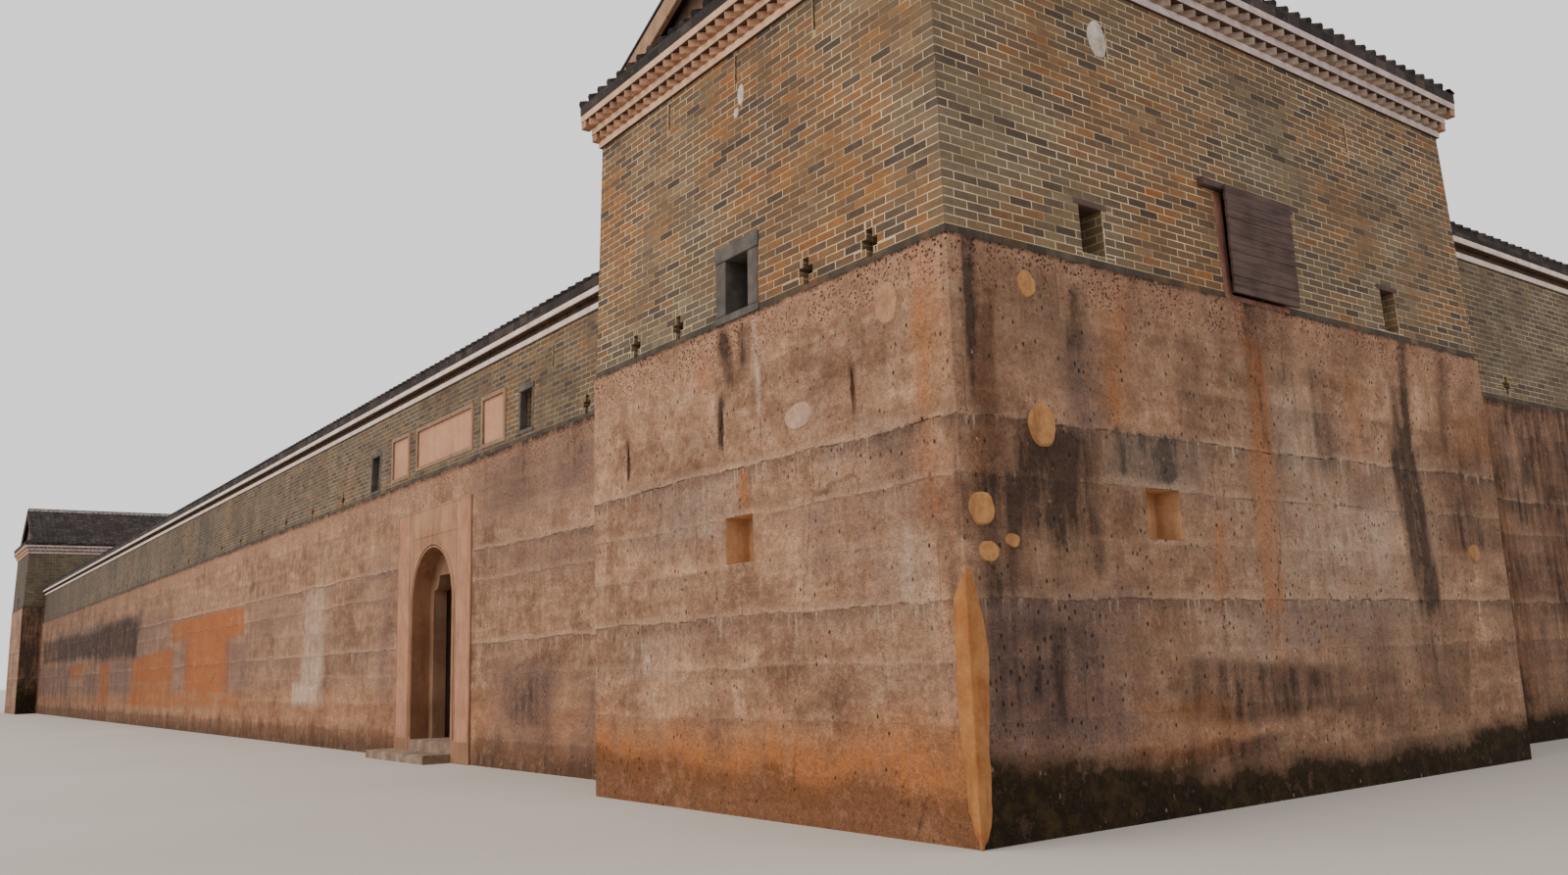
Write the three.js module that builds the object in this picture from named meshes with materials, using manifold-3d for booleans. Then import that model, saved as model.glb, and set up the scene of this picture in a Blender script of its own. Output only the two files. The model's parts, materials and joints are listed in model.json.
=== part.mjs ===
// A walled village: a rectangle of rammed earth and brick walls with a tower at each corner, an arched
// gate in the front wall, and a row of tiled rooms behind each wall round an open court.
// Every size below is the real building's, in metres. The model is half that size, in millimetres.
// +Z is up, the front wall faces -Y, and the origin is the middle of the footprint on the ground.

import * as THREE from "three";
import { mergeVertices } from "three/addons/utils/BufferGeometryUtils.js";
import Module from "manifold-3d";

const wasm = await Module();
wasm.setup();

const modelScale = 1 / 2;
const unitsPerMetre = 1000 * modelScale;
const gap = 0.0006;                // left between pieces that meet on a leaning or cut face
const past = 1;                    // how far a cutting solid runs past what it cuts

// Plan
const towerWidth = 5.68;           // along X
const towerDepth = 8.5;            // along Y
const frontRun = 61.76;            // front wall between its two towers
const sideRun = 34;                // side wall between its two towers
const setBack = 0.9;               // long walls stand back from the towers' faces
const rangeDepth = 3.6;            // outer face to court face of the rooms behind a wall
const halfWidth = frontRun / 2 + towerWidth;
const halfDepth = sideRun / 2 + towerDepth;

// Heights
const earthTop = 4.53;
const sideEarthTop = 4.48;
const towerBrickTop = 7.28;
const frontBrickTop = 5.92;
const sideBrickTop = 6.39;
const tallTowerLift = 0.8;         // the front left tower stands higher
const floorTop = 3.75;
const floorThick = 0.12;

// Walls
const earthThick = 0.8;
const earthThickAbove = 0.65;      // above the ledge that carries the floor
const brickThick = 0.5;            // from the earth wall's outer face
const brickInset = 0.015;          // brick starts this far behind the earth face
const batter = 0.0243;             // lean of every brick face
const courtWallThick = 0.45;
const courtWallThickAbove = 0.33;

// Cornices are corbelled out course by course
const course = 0.084;
const towerSteps = [0.034, 0.063, 0.096, 0.138, 0.187];
const wallSteps = [0.034, 0.034, 0.12];
const tileProud = 0.026;           // tile ends beyond the top course

// Roofs
const towerPitch = 25;
const tallTowerPitch = 34;
const towerVerge = 0.17;           // verge behind the tower's face
const gableBack = 0.32;            // gable wall behind the tower's face
const skirtRise = 0.22;
const roofThick = 0.14;
const tileThick = 0.12;
const rangeRidgeAt = 0.75;         // ridge behind the wall's outer face
const outerPitch = 27;
const innerPitch = 21;
const courtEave = 0.3;
const ridgeHalf = 0.1;             // band of mortar and tile along each ridge
const towerRidgeRise = 0.12;
const rangeRidgeRise = 0.06;

// Loopholes in the brick: crosses near the earth wall's top, and slits higher up
const crossHeight = 0.25;
const crossWidth = 0.2;
const crossBar = 0.085;
const crossAt = 4.71;
const crossPitch = 2.04;
const firstCross = 7.64;           // from the front wall's right end corner
const firstSideCross = 2.92;       // from the tower
const lastCross = 0.4;             // least distance from the far tower
const slitWidth = 0.035;
const slitHeight = 0.3;
const slitAt = 5.58;
const sideSlitAt = 5.33;

// Tower openings. Across the front, places run from the middle; along the side, from the front.
const towerCrosses = [-1.935, -1.07, 1.07, 1.935];
const frontSlits = { at: [-1.26, 0, 1.26], underTop: 0.2 };
const sideSlits = { at: [2.21, 6.25], underTop: 0.53 };
const frontWindow = { width: 0.38, height: 0.55, above: 0.36 };
const sideWindows = [
  { at: 1.76, width: 0.3, height: 0.43, above: 0.33 },
  { at: 6.66, width: 0.3, height: 0.47, above: 0.32 },
];
const hoistOpening = { at: 4.13, width: 0.94, height: 1.02, above: 0.56 };
const leafSlits = [
  { at: 1.18, z: 3.53, height: 0.38 },
  { at: 3.11, z: 3.52, height: 0.4 },
  { at: 4.91, z: 3.46, height: 0.4 },
];
const leafSlitWidth = 0.06;
const niche = { low: 2.24, high: 2.67, depth: 0.26, front: [-0.18, 0.26], side: [2.14, 2.6] };
const towerDoor = { from: 1.9, to: 2.9, height: 2.1, upperHeight: 1.9 };

// Gate
const gateAt = 12.91;              // centre, from the right tower's outer face
const gateHalf = 0.868;
const gateApex = 3.335;
const liningThick = 0.06;          // plaster on the jambs, which the arch springs from
const thresholdTop = 0.3;
const stepDepth = 0.45;
const stepHeight = 0.13;
const stepReach = 1.75;            // its left end, from the gate's centre
const archDepth = 0.27;
const frameThick = 0.22;
const doorHalf = 0.685;
const doorTop = 2.92;
const corbel = 0.24;
const surroundHalf = 1.59;
const surroundTop = 4;
const surroundProud = 0.03;
const overGateBottom = 3.42;
const rebateHalf = 0.98;           // the wall behind the frame is wider, so the leaves can stand open

// Gate leaves, each on two pins
const pivotFromMiddle = 0.76;
const pivotBehindFrame = 0.055;
const pivotRadius = 0.028;
const pivotDepth = 0.05;
const pinInLeaf = 0.1;
const socketRadius = 0.036;
const leafThick = 0.05;
const leafClear = 0.03;
const leafLap = 0.05;              // leaf above the top of the doorway
const leafMeeting = 0.006;         // half the gap between the closed leaves
const bearerClear = 0.02;
const bearerHeight = 0.13;
const bearerReach = 0.06;          // bearer beyond the pin's centre
const bearerInner = 0.07;

// Front wall windows and the three plaster panels over the gate, placed as the gate is
const frontWindows = [
  { at: 9.49, width: 0.38, low: 4.7, high: 5.27 },
  { at: 15.93, width: 0.42, low: 4.64, high: 5.27 },
];
const windowClear = 0.5;           // no cross this close to a window
const panelsAt = 12.62;
const panelSideAt = 1.99;
const panelSideWidth = 0.88;
const panels = [
  { name: "name_panel", at: panelsAt, width: 2.45, low: 4.7, high: 5.44 },
  { name: "side_panel_right", at: panelsAt - panelSideAt, width: panelSideWidth, low: 4.65, high: 5.45 },
  { name: "side_panel_left", at: panelsAt + panelSideAt, width: panelSideWidth, low: 4.65, high: 5.45 },
];
const panelsReach = panelSideAt + panelSideWidth / 2;
const panelFace = 0.005;
const panelBack = 0.07;
const panelBorder = 0.06;
const panelSunk = 0.03;

// Court side of the rooms
const frontBays = 6;
const sideBays = 3;
const courtDoorWidth = 1.2;
const courtDoorHeight = 2.1;
const courtWindow = 0.7;
const courtWindowAt = 4.75;
const courtGateHalf = 1.2;
const courtGateHeight = 3;

// Shutter of the near tower, on its rail. Places run along the side from the front.
const rail = { from: 3.37, to: 4.92, low: 5.61, high: 5.69, thick: 0.07 };
const shutter = { from: 3.65, to: 4.75, low: 4.59, high: 5.66, thick: 0.04 };

const tau = Math.PI * 2;
const rise = (run, degrees) => run * Math.tan((degrees * tau) / 360);
const inOrder = (a, b) => [Math.min(a, b), Math.max(a, b)];

// Solids

function solid(geometry) {
  geometry.deleteAttribute("normal");
  geometry.deleteAttribute("uv");
  const merged = mergeVertices(geometry, 1e-6);
  return new wasm.Manifold(new wasm.Mesh({
    numProp: 3,
    vertProperties: new Float32Array(merged.attributes.position.array),
    triVerts: new Uint32Array(merged.index.array),
  }));
}

function block(x0, x1, y0, y1, z0, z1) {
  const geometry = new THREE.BoxGeometry(Math.abs(x1 - x0), Math.abs(y1 - y0), z1 - z0);
  return solid(geometry.translate((x0 + x1) / 2, (y0 + y1) / 2, (z0 + z1) / 2));
}

// A block whose four sides lean in towards the top by the same amount.
function leaning(x0, x1, y0, y1, z0, z1, lean) {
  const width = x1 - x0;
  const depth = y1 - y0;
  const geometry = new THREE.BoxGeometry(width, depth, z1 - z0);
  const position = geometry.attributes.position;
  for (let i = 0; i < position.count; i += 1) {
    if (position.getZ(i) > 0) {
      position.setX(i, position.getX(i) * (1 - (2 * lean) / width));
      position.setY(i, position.getY(i) * (1 - (2 * lean) / depth));
    }
  }
  return solid(geometry.translate((x0 + x1) / 2, (y0 + y1) / 2, (z0 + z1) / 2));
}

// Extrudes an outline of (across, up) points: across is Y for a run along X, and X for a run along Y.
function prism(points, along, from, to) {
  const shape = new THREE.Shape(points.map(([across, up]) => new THREE.Vector2(across, up)));
  const geometry = new THREE.ExtrudeGeometry(shape, { depth: to - from, bevelEnabled: false, steps: 1 });
  const turn = new THREE.Matrix4();
  if (along === "x") {
    turn.set(0, 0, 1, from, 1, 0, 0, 0, 0, 1, 0, 0, 0, 0, 0, 1);
  } else {
    turn.set(1, 0, 0, 0, 0, 0, -1, to, 0, 1, 0, 0, 0, 0, 0, 1);
  }
  return solid(geometry.applyMatrix4(turn));
}

function post(radius, x, y, z0, z1) {
  const geometry = new THREE.CylinderGeometry(radius, radius, z1 - z0, 16);
  return solid(geometry.rotateX(tau / 4).translate(x, y, (z0 + z1) / 2));
}

const join = (solids) => solids.reduce((whole, next) => whole.add(next));
const cut = (body, holes) => holes.reduce((whole, hole) => whole.subtract(hole), body);

const village = new THREE.Group();

function piece(name, shape, finish) {
  const made = shape.getMesh();
  const geometry = new THREE.BufferGeometry();
  const position = Float32Array.from(made.vertProperties, (value) => value * unitsPerMetre);
  geometry.setAttribute("position", new THREE.BufferAttribute(position, 3));
  geometry.setIndex(new THREE.BufferAttribute(new Uint32Array(made.triVerts), 1));
  geometry.computeVertexNormals();
  const mesh = new THREE.Mesh(geometry, new THREE.MeshStandardMaterial({ ...finish, metalness: 0 }));
  mesh.name = name;
  village.add(mesh);
}

const earthFinish = { color: "#a5826a", roughness: 0.95 };
const brickFinish = { color: "#8a7458", roughness: 0.88 };
const plasterFinish = { color: "#c9a68e", roughness: 0.8 };
const tileFinish = { color: "#3b3837", roughness: 0.9 };
const woodFinish = { color: "#4a3a34", roughness: 0.8 };
const stoneFinish = { color: "#8b8378", roughness: 0.8 };

// Holes in a wall that runs along X or Y, centred at (at, z). deep is the [from, to] range across it.

function boxHole(along, at, z, width, height, deep) {
  const [from, to] = deep;
  if (along === "x") {
    return block(at - width / 2, at + width / 2, from, to, z - height / 2, z + height / 2);
  }
  return block(from, to, at - width / 2, at + width / 2, z - height / 2, z + height / 2);
}

function crossHole(along, at, z, deep) {
  return boxHole(along, at, z, crossBar, crossHeight, deep)
    .add(boxHole(along, at, z, crossWidth, crossBar, deep));
}

// A pointed slit, wider at the middle.
function leafHole(at, z, width, height, deep) {
  const outline = [[at, z - height / 2], [at + width / 2, z], [at, z + height / 2], [at - width / 2, z]];
  return prism(outline, "y", deep[0], deep[1]);
}

// Towers

// u runs inward from the tower's outer side face and v inward from its front or back face.
function towerPlace(sideX, sideY) {
  const x = (u) => sideX * (halfWidth - u);
  const y = (v) => sideY * (halfDepth - v);
  const box = (u0, u1, v0, v1, z0, z1) => block(
    ...inOrder(x(u0), x(u1)), ...inOrder(y(v0), y(v1)), z0, z1,
  );
  return { x, y, box };
}

// The tower's brick part as one leaning mass, grown by extra.
function towerMass(sideX, sideY, lift, extra) {
  const place = towerPlace(sideX, sideY);
  const inset = brickInset - extra;
  const xs = inOrder(place.x(inset), place.x(towerWidth - inset));
  const ys = inOrder(place.y(inset), place.y(towerDepth - inset));
  const bottom = earthTop + lift;
  const top = towerBrickTop + lift;
  return leaning(...xs, ...ys, bottom, top, batter * (top - bottom));
}

// What the long walls are cut back from: a whole tower, a little larger than it is.
function towerEnvelope(sideX, sideY, lift) {
  const place = towerPlace(sideX, sideY);
  const earth = place.box(-gap, towerWidth + gap, -gap, towerDepth + gap, -past, earthTop + lift);
  return earth.add(towerMass(sideX, sideY, lift, gap));
}

function towerCornice(place, top, lean) {
  const rings = towerSteps.map((step, i) => place.box(
    lean - step, towerWidth - lean + step, lean - step, towerDepth - lean + step,
    top + course * i, top + course * (i + 1),
  ));
  return join(rings).subtract(place.box(brickThick, towerWidth - brickThick, brickThick,
    towerDepth - brickThick, top - past, top + past));
}

// Two slopes, a ridge band, a gable wall at each end and a skirt of tiles under each gable.
function towerRoof(place, bottom, eave, pitch) {
  const centre = place.x(towerWidth / 2);
  const half = towerWidth / 2 - eave;
  const inner = towerWidth / 2 - brickThick;
  const tileTop = bottom + tileThick;
  const peak = tileTop + rise(half, pitch);
  const shoulder = peak - rise(ridgeHalf, pitch);
  const underside = (across) => tileTop + rise(half - across, pitch) - roofThick;
  const ends = (from, to) => inOrder(place.y(from), place.y(to));
  const outline = [
    [centre - half, bottom],
    [centre - half, tileTop],
    [centre, peak],
    [centre + half, tileTop],
    [centre + half, bottom],
  ];
  const slopes = [
    [centre - half, bottom],
    [centre - half, tileTop],
    [centre - ridgeHalf, shoulder],
    [centre - ridgeHalf, peak + towerRidgeRise],
    [centre + ridgeHalf, peak + towerRidgeRise],
    [centre + ridgeHalf, shoulder],
    [centre + half, tileTop],
    [centre + half, bottom],
    [centre + inner, bottom],
    [centre + inner, underside(inner)],
    [centre, underside(0)],
    [centre - inner, underside(inner)],
    [centre - inner, bottom],
  ];
  const gable = [
    [centre - half + brickThick / 2, bottom],
    [centre, peak - roofThick / 2],
    [centre + half - brickThick / 2, bottom],
  ];
  const solids = [
    prism(slopes, "y", ...ends(towerVerge, towerDepth - towerVerge)),
    prism(gable, "y", ...ends(gableBack, brickThick)),
    prism(gable, "y", ...ends(towerDepth - brickThick, towerDepth - gableBack)),
  ];
  const under = prism(outline, "y", ...ends(eave, towerDepth - eave));
  for (const [edge, back] of [[eave, gableBack], [towerDepth - eave, towerDepth - gableBack]]) {
    const skirt = [
      [place.y(edge), bottom],
      [place.y(edge), tileTop],
      [place.y(back), tileTop + skirtRise],
      [place.y(back), bottom],
    ];
    solids.push(prism(skirt, "x", centre - half, centre + half).intersect(under));
  }
  return join(solids);
}

function buildTower(name, sideX, sideY, lift, hasShutter) {
  const place = towerPlace(sideX, sideY);
  const frontDeep = inOrder(place.y(-past / 2), place.y(past));
  const sideDeep = inOrder(place.x(-past / 2), place.x(past));
  const earth = earthTop + lift;
  const top = towerBrickTop + lift;
  const floor = floorTop + lift;
  const middle = towerWidth / 2;
  const hollow = (inset, z0, z1) => place.box(inset, towerWidth - inset, inset, towerDepth - inset, z0, z1);
  const doorway = (z0, z1) => place.box(towerDoor.from, towerDoor.to, towerDepth - past, towerDepth + past,
    z0, z1);
  const upperDoorway = doorway(floor, floor + towerDoor.upperHeight);

  const nicheFront = niche.front.map((from) => middle + from);
  piece(`${name}_tower_earth_walls`, cut(place.box(0, towerWidth, 0, towerDepth, 0, earth), [
    hollow(earthThick, -past, floor - floorThick),
    hollow(earthThickAbove, floor - floorThick, earth + past),
    place.box(...nicheFront, -past, niche.depth, niche.low, niche.high),
    place.box(-past, niche.depth, ...niche.side, niche.low, niche.high),
    ...leafSlits.map((slit) => leafHole(place.x(slit.at), slit.z, leafSlitWidth, slit.height, frontDeep)),
    doorway(-past, towerDoor.height),
    upperDoorway,
  ]), earthFinish);

  piece(`${name}_tower_floor`, hollow(earthThickAbove, floor - floorThick, floor), woodFinish);

  const brickHoles = [
    hollow(brickThick, earth - past, top + past),
    boxHole("x", place.x(middle), earth + frontWindow.above, frontWindow.width, frontWindow.height,
      frontDeep),
    ...sideWindows.map((window) => boxHole("y", place.y(window.at), earth + window.above, window.width,
      window.height, sideDeep)),
    ...sideSlits.at.map((at) => boxHole("y", place.y(at), top - sideSlits.underTop, slitWidth, slitHeight,
      sideDeep)),
    ...frontSlits.at.map((from) => boxHole("x", place.x(middle + from), top - frontSlits.underTop,
      slitWidth, slitHeight, frontDeep)),
    ...towerCrosses.map((from) => crossHole("x", place.x(middle + from), crossAt + lift, frontDeep)),
    upperDoorway,
  ];
  if (hasShutter) {
    brickHoles.push(boxHole("y", place.y(hoistOpening.at), earth + hoistOpening.above, hoistOpening.width,
      hoistOpening.height, sideDeep));
  }
  piece(`${name}_tower_brick_walls`, cut(towerMass(sideX, sideY, lift, 0), brickHoles), brickFinish);

  const lean = brickInset + batter * (top - earth);
  piece(`${name}_tower_cornice`, towerCornice(place, top, lean), plasterFinish);
  piece(`${name}_tower_roof`, towerRoof(place, top + course * towerSteps.length,
    lean - towerSteps.at(-1) - tileProud, lift > 0 ? tallTowerPitch : towerPitch), tileFinish);
}

buildTower("front_right", 1, -1, 0, true);
buildTower("front_left", -1, -1, tallTowerLift, false);
buildTower("back_right", 1, 1, 0, false);
buildTower("back_left", -1, 1, 0, false);

// Long walls with the rooms behind them

const towers = join([
  towerEnvelope(1, -1, 0),
  towerEnvelope(-1, -1, tallTowerLift),
  towerEnvelope(1, 1, 0),
  towerEnvelope(-1, 1, 0),
]);

// s runs inward from the wall's outer face, across the wall.
function rangePlace(along, outward, face, half) {
  const at = (s) => face - outward * s;
  const deep = (s0, s1) => inOrder(at(s0), at(s1));
  const profile = (points, from = -half - past, to = half + past) => prism(
    points.map(([s, z]) => [at(s), z]), along, from, to,
  );
  const box = (from, to, s0, s1, z0, z1) => (
    along === "x" ? block(from, to, ...deep(s0, s1), z0, z1) : block(...deep(s0, s1), from, to, z0, z1)
  );
  return { along, half, at, deep, profile, box };
}

function buildRange(name, place, wall) {
  const { earth, top, brickHoles, courtHoles, courtParts } = wall;
  const lean = brickInset + batter * (top - earth);
  const brick = place.profile([[brickInset, earth], [lean, top], [brickThick, top], [brickThick, earth]]);
  piece(`${name}_wall_brick`, cut(brick, [towers, ...brickHoles]), brickFinish);

  const corniceTop = top + course * wallSteps.length;
  const cornice = wallSteps.map((step, i) => place.profile([
    [lean - step, top + course * i],
    [lean - step, top + course * (i + 1)],
    [brickThick, top + course * (i + 1)],
    [brickThick, top + course * i],
  ]));
  piece(`${name}_wall_cornice`, join(cornice).subtract(towers), plasterFinish);

  const eave = lean - wallSteps.at(-1) - tileProud;
  const eaveTop = corniceTop + tileThick;
  const ridgeTop = eaveTop + rise(rangeRidgeAt - eave, outerPitch);
  const innerTop = (s) => ridgeTop - rise(s - rangeRidgeAt, innerPitch);
  const courtEdge = rangeDepth + courtEave;
  const roof = place.profile([
    [eave, corniceTop],
    [eave, eaveTop],
    [rangeRidgeAt - ridgeHalf, ridgeTop - rise(ridgeHalf, outerPitch)],
    [rangeRidgeAt - ridgeHalf, ridgeTop + rangeRidgeRise],
    [rangeRidgeAt + ridgeHalf, ridgeTop + rangeRidgeRise],
    [rangeRidgeAt + ridgeHalf, innerTop(rangeRidgeAt + ridgeHalf)],
    [courtEdge, innerTop(courtEdge)],
    [courtEdge, innerTop(courtEdge) - tileThick],
    [rangeRidgeAt, ridgeTop - tileThick],
    [brickThick, corniceTop],
  ]);
  piece(`${name}_range_roof`, roof.subtract(towers), tileFinish);

  const ledge = floorTop - floorThick;
  const upper = rangeDepth - courtWallThickAbove;
  const lower = rangeDepth - courtWallThick;
  const section = [
    [rangeDepth, 0],
    [rangeDepth, innerTop(rangeDepth) - tileThick - gap],
    [upper, innerTop(upper) - tileThick - gap],
    [upper, ledge],
    [lower, ledge],
    [lower, 0],
  ];
  for (const [suffix, from, to] of courtParts) {
    piece(`${name}_court_wall${suffix}`, cut(place.profile(section, from, to), [towers, ...courtHoles]),
      brickFinish);
  }
}

function earthSection(top) {
  const ledge = floorTop - floorThick;
  return [[0, 0], [0, top], [earthThickAbove, top], [earthThickAbove, ledge], [earthThick, ledge],
    [earthThick, 0]];
}

// Doorways and upper windows of a court wall, one pair to a bay.
function courtBays(place, bays, skip) {
  const holes = [];
  const deep = place.deep(rangeDepth - past, rangeDepth + past);
  for (let i = 0; i < bays; i += 1) {
    const at = -place.half + ((i + 0.5) * 2 * place.half) / bays;
    if (Math.abs(at - skip) > courtGateHalf + courtDoorWidth) {
      holes.push(boxHole(place.along, at, 0, courtDoorWidth, 2 * courtDoorHeight, deep));
    }
    holes.push(boxHole(place.along, at, courtWindowAt, courtWindow, courtWindow, deep));
  }
  return holes;
}

// Distances at which a wall's crosses stand.
function crossings(from, to) {
  const places = [];
  for (let d = from; d < to - lastCross; d += crossPitch) {
    places.push(d);
  }
  return places;
}

const frontFace = -(halfDepth - setBack);
const sideFace = halfWidth - setBack;
const frontPlace = rangePlace("x", -1, frontFace, frontRun / 2);
const backPlace = rangePlace("x", 1, -frontFace, frontRun / 2);
const rightPlace = rangePlace("y", 1, sideFace, sideRun / 2);
const leftPlace = rangePlace("y", -1, -sideFace, sideRun / 2);
const fromRight = (d) => halfWidth - d;
const gateX = fromRight(gateAt);
const wallEnd = frontRun / 2;
const frontCrossings = crossings(firstCross, 2 * halfWidth - towerWidth);

function frontHoles() {
  const deep = frontPlace.deep(-past / 2, past);
  const holes = [];
  for (const d of frontCrossings) {
    const slitD = d + crossPitch / 2;
    const isByWindow = frontWindows.some((window) => Math.abs(window.at - d) < windowClear);
    if (!isByWindow && Math.abs(panelsAt - d) > panelsReach) {
      holes.push(crossHole("x", fromRight(d), crossAt, deep));
    }
    if (Math.abs(panelsAt - slitD) > panelsReach) {
      holes.push(boxHole("x", fromRight(slitD), slitAt, slitWidth, slitHeight, deep));
    }
  }
  for (const window of frontWindows) {
    holes.push(boxHole("x", fromRight(window.at), (window.low + window.high) / 2, window.width,
      window.high - window.low, deep));
  }
  for (const { at, width, low, high } of panels) {
    holes.push(frontPlace.box(fromRight(at) - width / 2 - gap, fromRight(at) + width / 2 + gap, -past,
      panelBack, low - gap, high + gap));
  }
  return holes;
}

function sideHoles(place) {
  const deep = place.deep(-past / 2, past);
  const holes = [];
  for (const d of crossings(firstSideCross, sideRun)) {
    const y = -place.half + d;
    holes.push(crossHole("y", y, crossAt, deep));
    holes.push(boxHole("y", y, sideSlitAt, slitWidth, slitHeight, deep));
  }
  return holes;
}

// The long court walls are built in two halves.
const courtHalves = [
  ["_left", -frontRun / 2 - past, -gap / 2],
  ["_right", gap / 2, frontRun / 2 + past],
];
const courtWhole = [["", -sideRun / 2 - past, sideRun / 2 + past]];

const courtGate = boxHole("x", gateX, 0, 2 * courtGateHalf, 2 * courtGateHeight,
  frontPlace.deep(rangeDepth - past, rangeDepth + past));
buildRange("front", frontPlace, {
  earth: earthTop,
  top: frontBrickTop,
  brickHoles: frontHoles(),
  courtHoles: [courtGate, ...courtBays(frontPlace, frontBays, gateX)],
  courtParts: courtHalves,
});
buildRange("back", backPlace, {
  earth: earthTop,
  top: frontBrickTop,
  brickHoles: frontCrossings.map((d) => (
    crossHole("x", fromRight(d), crossAt, backPlace.deep(-past / 2, past))
  )),
  courtHoles: courtBays(backPlace, frontBays, Infinity),
  courtParts: courtHalves,
});
for (const [name, place] of [["right", rightPlace], ["left", leftPlace]]) {
  buildRange(name, place, {
    earth: sideEarthTop,
    top: sideBrickTop,
    brickHoles: sideHoles(place),
    courtHoles: courtBays(place, sideBays, Infinity),
    courtParts: courtWhole,
  });
  piece(`${name}_wall_earth`, place.profile(earthSection(sideEarthTop)).subtract(towers), earthFinish);
}
piece("back_wall_earth", backPlace.profile(earthSection(earthTop)).subtract(towers), earthFinish);

// The front wall stops beside the gate and bridges it above.
const openingHalf = gateHalf + liningThick;
const frameBack = archDepth + frameThick;
const rebate = frontPlace.box(gateX - rebateHalf, gateX + rebateHalf, frameBack, past, -past,
  overGateBottom);
const frontEarth = (from, to) => frontPlace.profile(earthSection(earthTop), from, to);
piece("front_wall_earth_right",
  cut(frontEarth(gateX + openingHalf, wallEnd + past), [towers, rebate]), earthFinish);
piece("front_wall_earth_left",
  cut(frontEarth(-wallEnd - past, gateX - openingHalf), [towers, rebate]), earthFinish);
piece("front_wall_earth_over_gate", frontPlace.profile(
  earthSection(earthTop).map(([s, z]) => [s, Math.max(z, overGateBottom)]),
  gateX - openingHalf + gap, gateX + openingHalf - gap), earthFinish);

piece("front_range_floor", frontPlace.box(-wallEnd + gap, wallEnd - gap, earthThickAbove,
  rangeDepth - courtWallThickAbove, floorTop - floorThick, floorTop), woodFinish);

// Gate

// The space under the arch, from below the ground to its apex.
function archSpace() {
  const shape = new THREE.Shape();
  const spring = gateApex - gateHalf;
  shape.moveTo(gateX - gateHalf, -past);
  shape.lineTo(gateX + gateHalf, -past);
  shape.lineTo(gateX + gateHalf, spring);
  shape.absarc(gateX, spring, gateHalf, 0, Math.PI, false);
  shape.lineTo(gateX - gateHalf, -past);
  const outline = shape.extractPoints(16).shape.map((point) => [point.x, point.y]);
  return prism(outline, "y", frontPlace.at(-past), frontPlace.at(past));
}

const fit = openingHalf - gap;
const surroundFace = frontPlace.box(gateX - surroundHalf, gateX + surroundHalf, -surroundProud, 0, 0,
  surroundTop);
const lining = frontPlace.box(gateX - fit, gateX + fit, -surroundProud, archDepth - gap,
  thresholdTop + gap, overGateBottom - gap);
const thresholdSpace = frontPlace.box(gateX - gateHalf, gateX + gateHalf, -past, past, -past,
  thresholdTop);
piece("gate_surround", cut(surroundFace.add(lining), [archSpace(), thresholdSpace]), plasterFinish);

// A quarter round bracket in a top corner of the doorway.
function corbelBlock(side) {
  const shape = new THREE.Shape();
  const x = gateX + side * doorHalf;
  shape.moveTo(x, doorTop - corbel);
  shape.quadraticCurveTo(x - side * corbel, doorTop - corbel, x - side * corbel, doorTop);
  shape.lineTo(x, doorTop);
  const outline = shape.extractPoints(6).shape.map((point) => [point.x, point.y]);
  return prism(outline, "y", frontPlace.at(archDepth), frontPlace.at(frameBack));
}

const pivotS = frameBack + pivotBehindFrame;
const pivotY = frontPlace.at(pivotS);
const leafTop = doorTop + leafLap;
const bearerBottom = leafTop + bearerClear;
const sockets = [];
const bearers = [];
for (const side of [-1, 1]) {
  const x = gateX + side * pivotFromMiddle;
  sockets.push(post(socketRadius, x, pivotY, thresholdTop - pivotDepth, thresholdTop + past));
  sockets.push(post(socketRadius, x, pivotY, bearerBottom - past, bearerBottom + pivotDepth));
  const xs = inOrder(gateX + side * (pivotFromMiddle - bearerInner), gateX + side * fit);
  bearers.push(frontPlace.box(...xs, archDepth, pivotS + bearerReach, bearerBottom,
    bearerBottom + bearerHeight));
}
const doorSpace = frontPlace.box(gateX - doorHalf, gateX + doorHalf, -past, past, -past, doorTop);
const headBottom = doorTop - corbel;
const frameBody = frontPlace.box(gateX - fit, gateX + fit, archDepth, frameBack, headBottom + gap,
  overGateBottom - gap);
const frame = join([frameBody.subtract(doorSpace), corbelBlock(-1), corbelBlock(1), ...bearers]);
piece("gate_frame_head", cut(frame, sockets), plasterFinish);
for (const [name, side] of [["gate_frame_jamb_left", -1], ["gate_frame_jamb_right", 1]]) {
  piece(name, frontPlace.box(...inOrder(gateX + side * doorHalf, gateX + side * fit), archDepth, frameBack,
    thresholdTop + gap, headBottom), plasterFinish);
}

const nosingHalf = gateHalf - gap;
const slab = frontPlace.box(gateX - fit, gateX + fit, gap, earthThick, 0, thresholdTop);
const nosing = frontPlace.box(gateX - nosingHalf, gateX + nosingHalf, -surroundProud, gap, 0,
  thresholdTop);
const step = frontPlace.box(gateX - nosingHalf, gateX + nosingHalf, -stepDepth, 0, 0, stepHeight);
const stepEnd = frontPlace.box(gateX - stepReach, gateX, -stepDepth, -surroundProud - gap, 0, stepHeight);
piece("gate_threshold", cut(join([slab, nosing, step, stepEnd]), sockets), stoneFinish);

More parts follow.
